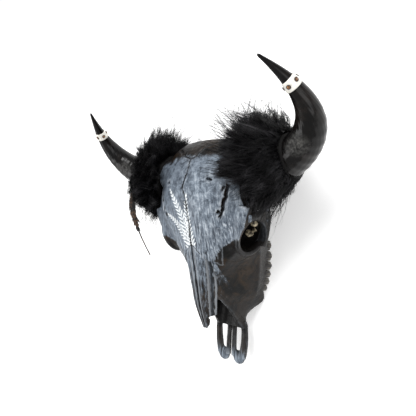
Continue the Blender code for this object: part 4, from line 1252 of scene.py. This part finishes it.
def bone_finish(name):
    """Hand-painted bone: charcoal ground, blue-grey rubbed over the face and pale streaks, with painted shade
    in the creases, grooves and hollows, on the orbit's lower rim and under the brow, and painted highlights
    on ridges.
    """
    paint = Paint(name, 0.5, Specular_IOR_Level=0.18)
    x = paint.axis(0)
    y = paint.axis(1)
    fine = paint.noise(190, 8, 0.72)
    broad = paint.noise(17, 5, 0.62)
    sponge = paint.noise(62, 9, 0.74, bend=0.4)
    brush = paint.noise(58, 9, 0.72, stretch=(5.5, 0.42, 2.4), bend=0.2)
    fleck = paint.noise(420, 4, 0.7, stretch=(1.6, 0.4, 1.0))
    mottle = paint.noise(34, 6, 0.66, bend=0.5)
    wobble = (paint.noise(190, 4, 0.62, bend=0.8) - 0.5) * 0.014
    face = paint.value("face")
    streaky = paint.value("streaky")
    ground = paint.layers(rgb(5, 5, 5), [(paint.ramp(mottle, 0.40, 0.62), rgb(44, 33, 22)),
                                         (paint.ramp(broad, 0.44, 0.60, 0.0, 0.7), rgb(24, 24, 25)),
                                         (paint.ramp(fine, 0.50, 0.72, 0.0, 0.4), rgb(50, 46, 42))])
    coverage = sponge * (1.0 - streaky) + brush * streaky
    # Pale dry-brushed paint; its stronger share on the near side and the forehead's middle is a painted
    # highlight.
    pale = paint.ramp(coverage, 0.49, 0.67) * paint.value("pale")
    blue = paint.layers(rgb(36, 42, 51), [(paint.ramp(coverage, 0.36, 0.56), rgb(118, 129, 141)),
                                          (paint.ramp(broad, 0.40, 0.62, 0.35, 0.0), rgb(70, 76, 86)),
                                          (pale, rgb(196, 203, 210))])
    cover = paint.ramp(face + (coverage - 0.5) * 1.3, 0.22, 0.62) * paint.ramp(face, 0.0, 0.15)
    # Lighter paint on raised ridges: dry-brushed paint in part, a painted highlight in part.
    edge = paint.value("ridge_paint_and_highlight") * paint.ramp(coverage + fleck * 0.35, 0.56, 0.76)
    edge = edge * paint.ramp(face, 0.0, 0.6, 0.25, 0.9)
    motif = frond(paint, x, y, *FRONDS[0])
    for form in FRONDS[1:]:
        motif = paint.math("MAXIMUM", motif, frond(paint, x, y, *form))
    motif = motif * paint.ramp(brush * 0.7 + fleck * 0.5, 0.40, 0.56) * paint.value("motif")
    coats = [(cover, blue), (edge, rgb(178, 184, 190)), (motif * 0.92, rgb(226, 230, 231))]
    for line, width in (("midline", 0.0012), ("crown", 0.0011)):
        away = abs(paint.value(line) + wobble)
        coats.append((paint.ramp(away, width * 0.8, width * 1.5, 0.97, 0.0), rgb(12, 12, 13)))
    share = paint.value("nasal") + (brush - 0.5) * 0.16
    for middle, width, tone in NASAL_LINES:
        away = abs(share - middle)
        coats.append((paint.ramp(away, width * 0.4, width, 0.85, 0.0), rgb(tone, tone + 4, tone + 9)))
    streak = paint.value("streak") + (brush - 0.5) * 0.006
    groove = paint.value("groove") + wobble * 0.22
    coats += [(paint.ramp(streak, 0.0003, 0.0014, 0.35, 0.0), rgb(28, 29, 32)),
              (paint.ramp(abs(streak - 0.0034), 0.0004, 0.0016, 0.22, 0.0), rgb(168, 176, 184)),
              # Painted shade: near black in the brow grooves, slits, foramina and pits.
              (paint.ramp(groove, 0.0008, 0.0023, 0.97, 0.0), rgb(8, 8, 9)),
              # Painted shade under the brow and on the orbit's lower rim.
              (paint.value("brow_and_rim_shade") * 0.85, rgb(24, 23, 23)),
              # Painted shade: darker in the carved lines and in places sunk below the smoothed surface.
              (paint.ramp(paint.value("crease_shade"), 0.30, 0.95, 0.0, 0.95), rgb(13, 12, 13)),
              # Painted shade: near black inside the orbits and the nose.
              (paint.value("hollow"), rgb(9, 8, 8))]
    paint.bump(coverage * 0.5 + (fine * 0.7 + fleck * 0.25) + mottle * 2.2, 0.5, 0.0012)
    return paint.done(paint.layers(ground, coats), paint.ramp(fine, 0.35, 0.65, 0.30, 0.48))


def plain_finish(name, roughness, noise, span, tones, relief=None, stretch=(1, 1, 1), **sockets):
    """Material that goes from one tone to another in clouds, raised by them where relief is given."""
    paint = Paint(name, roughness, **sockets)
    cloud = paint.noise(*noise, stretch=stretch)
    if relief:
        paint.bump(cloud, *relief)
    return paint.done(paint.mix(paint.ramp(cloud, *span), rgb(*tones[0]), rgb(*tones[1])))


def tooth_finish():
    """Enamel with upright streaks, dark near the gum."""
    paint = Paint("tooth_enamel", 0.35)
    lines = paint.noise(90, 6, 0.65, stretch=(3.0, 3.0, 0.35))
    paint.bump(lines, 0.5, 0.0008)
    coats = [(paint.ramp(lines, 0.42, 0.62), rgb(92, 86, 76)),
             (paint.ramp(paint.axis(2), 0.004, 0.020), rgb(30, 27, 25))]
    return paint.done(paint.layers(rgb(34, 31, 28), coats))


def horn_finish():
    """Near-black polished horn with fine fibres, pale scuffs and a worn grey patch."""
    paint = Paint("horn_black", 0.25, Specular_IOR_Level=0.22)
    fibre = paint.noise(55, 8, 0.65, bend=0.8)
    scuff = paint.noise(210, 6, 0.75)
    cloud = paint.noise(22, 4, 0.6)
    worn = paint.value("worn")
    patch = worn * paint.ramp(scuff + fibre * 0.5, 0.62, 0.90)
    paint.bump(fibre + scuff * 0.3, 0.30, 0.0008)
    color = paint.layers(rgb(9, 8, 8), [(paint.ramp(cloud, 0.46, 0.70), rgb(28, 23, 20)),
                                        (paint.ramp(fibre, 0.62, 0.80, 0.0, 0.4), rgb(56, 50, 44)),
                                        (patch * 0.55, rgb(104, 103, 100))])
    return paint.done(color, paint.ramp(fibre, 0.4, 0.7, 0.13, 0.30) + worn * 0.40)


def fur_finish():
    """Near-black fur, lighter towards the tips of some tufts and in fine streaks: the fur's own tone in part,
    painted glints in part.
    """
    paint = Paint("fur_black", 0.38, Specular_IOR_Level=0.15)
    place = paint.noise(38, 3, 0.6)
    streak = paint.noise(500, 3, 0.6)
    share = paint.ramp(paint.value("tip"), 0.10, 1.0, 0.25, 1.0) * paint.value("shade")
    share = share * paint.ramp(place, 0.36, 0.62, 0.35, 1.0)
    tip = rgb(70, 69, 72)
    # The lighter tips and fine lighter streaks: painted glints in part.
    coats = [(share, tip), (paint.ramp(streak, 0.5, 0.8, 0.0, 0.35), tip)]
    return paint.done(paint.layers(rgb(3, 3, 4), coats))


# Dried scraps inside the left orbit: (centre, radii).
SCRAPS = [((0.084, 0.296, 0.108), (0.010, 0.0075, 0.006)), ((0.095, 0.303, 0.106), (0.006, 0.005, 0.0045)),
          ((0.103, 0.317, 0.119), (0.0075, 0.0085, 0.0085))]


def socket_scraps():
    """Lumps of dried tissue left in both orbits."""
    items = []
    for centre, radii in SCRAPS:
        items += both(ball(("scrap", centre, radii)))
    made = joined("socket_scraps", items)
    mod_applied(made, "REMESH", mode="VOXEL", voxel_size=0.0008)
    roughened(made, [(0.0040, 0.0050), (0.0016, 0.0016)])
    return made


def read_off(stations, at):
    """Values read off (place, value) stations by straight lines."""
    return np.interp(at, [s[0] for s in stations], [s[1] for s in stations])


def swapped(path):
    """A path's points from end to end, with the two numbers of each in the other order."""
    return [(b, a) for a, b in path[::-1]]


def face_zones(item):
    """Vertex values that the bone paint reads: seams, painted face, hollows for painted shade, painted shade
    under the brow and on the orbit's lower rim, motif, and ridges for lighter paint with a painted highlight.
    """
    co = places(item)
    normals = facings(item)
    x, y, z = np.abs(co[:, 0]), co[:, 1], co[:, 2]
    left = np.stack([x, y, z], 1)
    zones = {}
    over = (y > 0.262) & (y < 0.439) & (z > 0.15)
    zones["midline"] = np.where(over, co[:, 0] - read_off(swapped(MIDLINE), y), 1.0)
    zones["crown"] = np.where((x < 0.052) & (z > 0.15), y - read_off(CROWN_SUTURE, co[:, 0]), 1.0)
    zones["nasal"] = np.where(item.name.startswith("nasal"), x / read_off(NASAL_HALF, y), 9.0)
    zones["streak"] = near_paths(co, ROOT_STREAKS)
    zones["groove"] = near_paths(co, GROOVES)
    top = read_off([(0.10, 0.0), (0.50, 1.0)], normals[:, 2])
    high = read_off([(0.070, 0.0), (0.120, 1.0)], z)
    behind = read_off([(0.420, 1.0), (0.462, 0.0)], y)
    # The far side gets less of the blue-grey and so is darker: painted shade.
    far = read_off([(-0.105, 0.72), (-0.055, 1.0)], co[:, 0])
    past_tear = y - read_off(LACRIMAL[::-1], x)
    over_tear = np.where(x > LACRIMAL[-1][0], read_off([(-0.007, 0.0), (0.001, 1.0)], past_tear), 1.0)
    face = top * high * behind * far * over_tear * read_off([(0.13, 0.28), (0.25, 0.55), (0.30, 1.0)], y)
    zones["face"] = np.maximum(face, top * read_off([(0.012, 0.6), (0.055, 0.0)], y))
    zones["streaky"] = read_off([(0.10, 0.85), (0.31, 0.75), (0.36, 0.35), (0.42, 0.10)], y)
    # Pale paint is made strongest along the forehead's middle and on the near side: real pale streaks, with a
    # painted highlight there.
    zones["pale"] = (read_off([(0.20, 0.25), (0.26, 1.0), (0.37, 0.8), (0.43, 0.15)], y)
                     * read_off([(-0.06, 0.35), (0.03, 1.0)], co[:, 0]))
    roof = read_off(ROOF_TOP, y)
    floor = read_off(CAVITY_FLOOR, y)
    inward = normals[:, 0] * -np.sign(co[:, 0]) + (normals[:, 2] * np.sign((roof + floor) / 2 - z))
    nose = (x < read_off(CAVITY_HALF, y) + 0.0015) & (y < CAVITY_SPAN[1]) & (y > 0.075)
    nose &= (z < roof - 0.003) & (z > floor - 0.0015) & (inward > 0.2)
    away = left - np.array(ORBIT_CENTRE)
    facing = np.array(ORBIT_FACING)
    depth = away @ facing
    radial = np.linalg.norm(away - depth[:, None] * facing, axis=1)
    socket = read_off([(-0.010, 1.0), (-0.001, 0.0)], depth) * (radial < 0.040) * (depth > -0.075)
    # Painted shade: the insides of the orbits and of the nose are painted near black.
    zones["hollow"] = np.maximum(socket, nose.astype(float))
    # Painted shade: darker paint on the lower side of the orbit's rim and in a patch under the brow.
    low = 0.9 * (z - ORBIT_CENTRE.z) + 0.5 * (y - ORBIT_CENTRE.y)
    rim = read_off([(0.044, 1.0), (0.060, 0.0)], radial) * (depth > -0.020) * (depth < 0.030)
    rim = rim * read_off([(0.004, 1.0), (0.016, 0.0)], low)
    patch = np.linalg.norm((left - np.array((0.078, 0.258, 0.130))) / np.array((0.026, 0.022, 0.026)), axis=1)
    zones["brow_and_rim_shade"] = np.maximum(rim, read_off([(0.35, 0.9), (1.1, 0.0)], patch))
    zones["motif"] = read_off([(0.35, 0.0), (0.6, 1.0)], normals[:, 2]) * (z > 0.15)
    smooth = mod_applied(copied(item), "SMOOTH", factor=0.5, iterations=40)
    raised = ((co - places(smooth)) * normals).sum(1)
    bpy.data.objects.remove(smooth, do_unlink=True)
    seams = np.minimum(away_from(co, FACE_SEAM), away_from(co, NOSE_SEAM))
    # Raised places away from the seams take lighter paint: dry-brushed paint in part, a painted highlight in
    # part.
    zones["ridge_paint_and_highlight"] = (read_off([(0.0002, 0.0), (0.0016, 1.0)], raised)
                      * read_off([(0.002, 0.0), (0.006, 1.0)], seams))
    # Painted shade in creases: the carved lines, and places that lie below the smoothed surface.
    crease_shade = np.zeros(len(co), np.float32)
    if item.data.attributes.get("crease_shade"):
        item.data.attributes["crease_shade"].data.foreach_get("value", crease_shade)
    zones["crease_shade"] = np.maximum(crease_shade, read_off([(-0.0022, 0.7), (-0.0006, 0.0)], raised))
    for key, values in zones.items():
        keep_values(item, key, values)


def near_paths(co, paths):
    """Plan distance to the nearest of the left side's paths, for both sides."""
    away = np.full(len(co), 1.0)
    high = co[:, 2] > 0.12
    flat = np.stack([np.abs(co[:, 0]), co[:, 1], co[:, 2]], 1)[high]
    for path in paths:
        away[high] = np.minimum(away[high], nearest(flat, dense(path)))
    return away


def away_from(co, path):
    """Distance of each place to a seam's path, seen from the side."""
    best = np.full(len(co), 1.0)
    for start, end in zip(path, path[1:]):
        start = np.array(start)
        step = np.array(end) - start
        share = np.clip(((co[:, 1:] - start) @ step) / (step @ step), 0.0, 1.0)
        best = np.minimum(best, np.linalg.norm(co[:, 1:] - start - share[:, None] * step, axis=1))
    return best


def finished(item, name, material, slot, nodes):
    """Names a piece, moves it into the shared frame and lets it stand for its solids."""
    item.name = name
    item.data.name = name
    item.data.transform(Matrix.Translation((0, -ORIGIN_BACK, 0)))
    item.data.materials.clear()
    item.data.materials.append(material)
    item.data.shade_smooth()
    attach(item, "root")
    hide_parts(*nodes)


# The worn grey patch on each horn: its centre on the left one, and radii.
WORN_CENTRE = (0.242, 0.440, 0.210)
WORN_RADII = (0.024, 0.020, 0.022)


def build():
    draw = random.Random(7)
    pieces = skull_bones()
    lines = bone_lines()
    for key in ("cranium", "upper_jaw"):
        carve(pieces[key], lines)
    pieces["nasal_left"], pieces["nasal_right"] = both(nasal_bone("nasal"))
    whole = bmesh.new()
    for item in pieces.values():
        whole.from_mesh(item.data)
    shell = BVHTree.FromBMesh(whole)
    whole.free()
    bone = bone_finish("painted_bone")
    for key, item in pieces.items():
        roughened(item, [(0.028, 0.0012), (0.0060, 0.0005)])
        face_zones(item)
        finished(item, key + "_bone", bone, "painted_bone", [key])
    scrap = plain_finish("dried_scrap", 0.45, (130, 5, 0.6), (0.40, 0.60), ((66, 58, 46), (200, 188, 160)),
                         (0.5, 0.0008))
    finished(socket_scraps(), "socket_scraps", scrap, "painted_bone", ["cranium"])
    finished(teeth(), "cheek_teeth", tooth_finish(), "painted_bone", ["upper_jaw"])
    horn = horn_finish()
    fur = fur_finish()
    band = plain_finish("band_white", 0.38, (260, 5, 0.6), (0.52, 0.72), ((232, 229, 221), (190, 184, 172)),
                        (0.15, 0.0005), Coat_Weight=0.2)
    stone = plain_finish("stud_amber", 0.12, (420, 3, 0.5), (0.38, 0.64), ((70, 38, 16), (158, 102, 44)),
                         Coat_Weight=1.0, Coat_Roughness=0.05)
    claw = plain_finish("stud_claw", 0.32, (600, 3, 0.5), (0.4, 0.6), ((16, 15, 15), (44, 41, 40)),
                        Metallic=0.7)
    hide = plain_finish("hide_black", 0.7, (700, 4, 0.6), (0.4, 0.7), ((6, 6, 6), (16, 14, 13)),
                        (0.6, 0.0012), Specular_IOR_Level=0.15)
    for side, word in ((1, "left"), (-1, "right")):
        keratin = horn_piece("horn", side, draw)
        centre = np.array((WORN_CENTRE[0] * side,) + WORN_CENTRE[1:])
        spot = np.linalg.norm((places(keratin) - centre) / np.array(WORN_RADII), axis=1)
        keep_values(keratin, "worn", read_off([(0.4, 1.0), (1.2, 0.0)], spot))
        ring, stones, claws = band_pieces(side)
        dress = [(keratin, "horn", "keratin", horn), (ring, "band", "ring", band),
                 (stones, "band", "studs", stone), (claws, "band", "claws", claw),
                 (hide_piece("hide", side), "fur", "hide", hide)]
        for layer in range(COATS):
            dress.append((coat_piece("coat", side, shell, draw), "fur", "coat_%d" % layer, fur))
        for item, slot, what, material in dress:
            finished(item, "%s_%s_%s" % (slot, word, what), material, slot, ["%s_%s" % (slot, word)])
    vane = plain_finish("feather_barred", 0.55, (70, 3, 0.55), (0.46, 0.54), ((14, 11, 10), (74, 54, 38)),
                        stretch=(0.8, 1.6, 1.6))
    finished(feather_piece("feather", draw), "feather_right_vane", vane, "feather", ["feather_right"])


# Lamps as (name, place, size, power), the point that they are turned to, and the camera's lens and
# the ways to its right and ahead. It stands at EYE.
LAMPS = [("key_light", (0.35, 1.05, 1.75), 0.9, 26.0), ("fill_light", (1.7, -0.7, 1.2), 1.4, 12.0),
         ("far_light", (-1.3, -0.5, 1.3), 1.2, 14.0)]
LIT_POINT = Vector((0, 0, 0.15))
CAMERA_LENS = 32.06
CAMERA_RIGHT = Vector((0.7412, 0.0618, -0.6684)).normalized()
CAMERA_AHEAD = Vector((-0.671, 0.0944, -0.7354)).normalized()


def studio():
    """Pale floor, soft lights and the camera."""
    bm = bmesh.new()
    bmesh.ops.create_grid(bm, x_segments=1, y_segments=1, size=4.0)
    floor = add_object("studio_floor", bm)
    paint = Paint("floor_white", 0.9, Emission_Color=(1.0, 1.0, 1.0, 1.0), Emission_Strength=0.38)
    cloud = paint.ramp(paint.noise(3, 2), 0.3, 0.7)
    color = paint.mix(cloud, (0.86, 0.86, 0.86, 1.0), (0.90, 0.90, 0.90, 1.0))
    floor.data.materials.append(paint.done(color))
    world = bpy.data.worlds.new("studio_world")
    world.use_nodes = True
    sky = world.node_tree.nodes["Background"]
    sky.inputs["Color"].default_value = (1.0, 1.0, 1.0, 1.0)
    sky.inputs["Strength"].default_value = 0.60
    bpy.context.scene.world = world
    bpy.context.scene.view_settings.view_transform = "Standard"
    for name, place, size, power in LAMPS:
        lamp = bpy.data.lights.new(name, "AREA")
        lamp.size = size
        lamp.energy = power
        made = linked(name, lamp)
        made.location = place
        made.rotation_euler = (LIT_POINT - Vector(place)).to_track_quat("-Z", "Y").to_euler()
    camera = bpy.data.cameras.new("photo_camera")
    camera.sensor_width = 36.0
    camera.lens = CAMERA_LENS
    up = CAMERA_RIGHT.cross(CAMERA_AHEAD).normalized()
    right = CAMERA_AHEAD.cross(up).normalized()
    turn = Matrix((right, up, -CAMERA_AHEAD)).transposed()
    made = linked("photo_camera", camera)
    made.matrix_world = Matrix.Translation(EYE) @ turn.to_4x4()
    bpy.context.scene.camera = made


build()
studio()
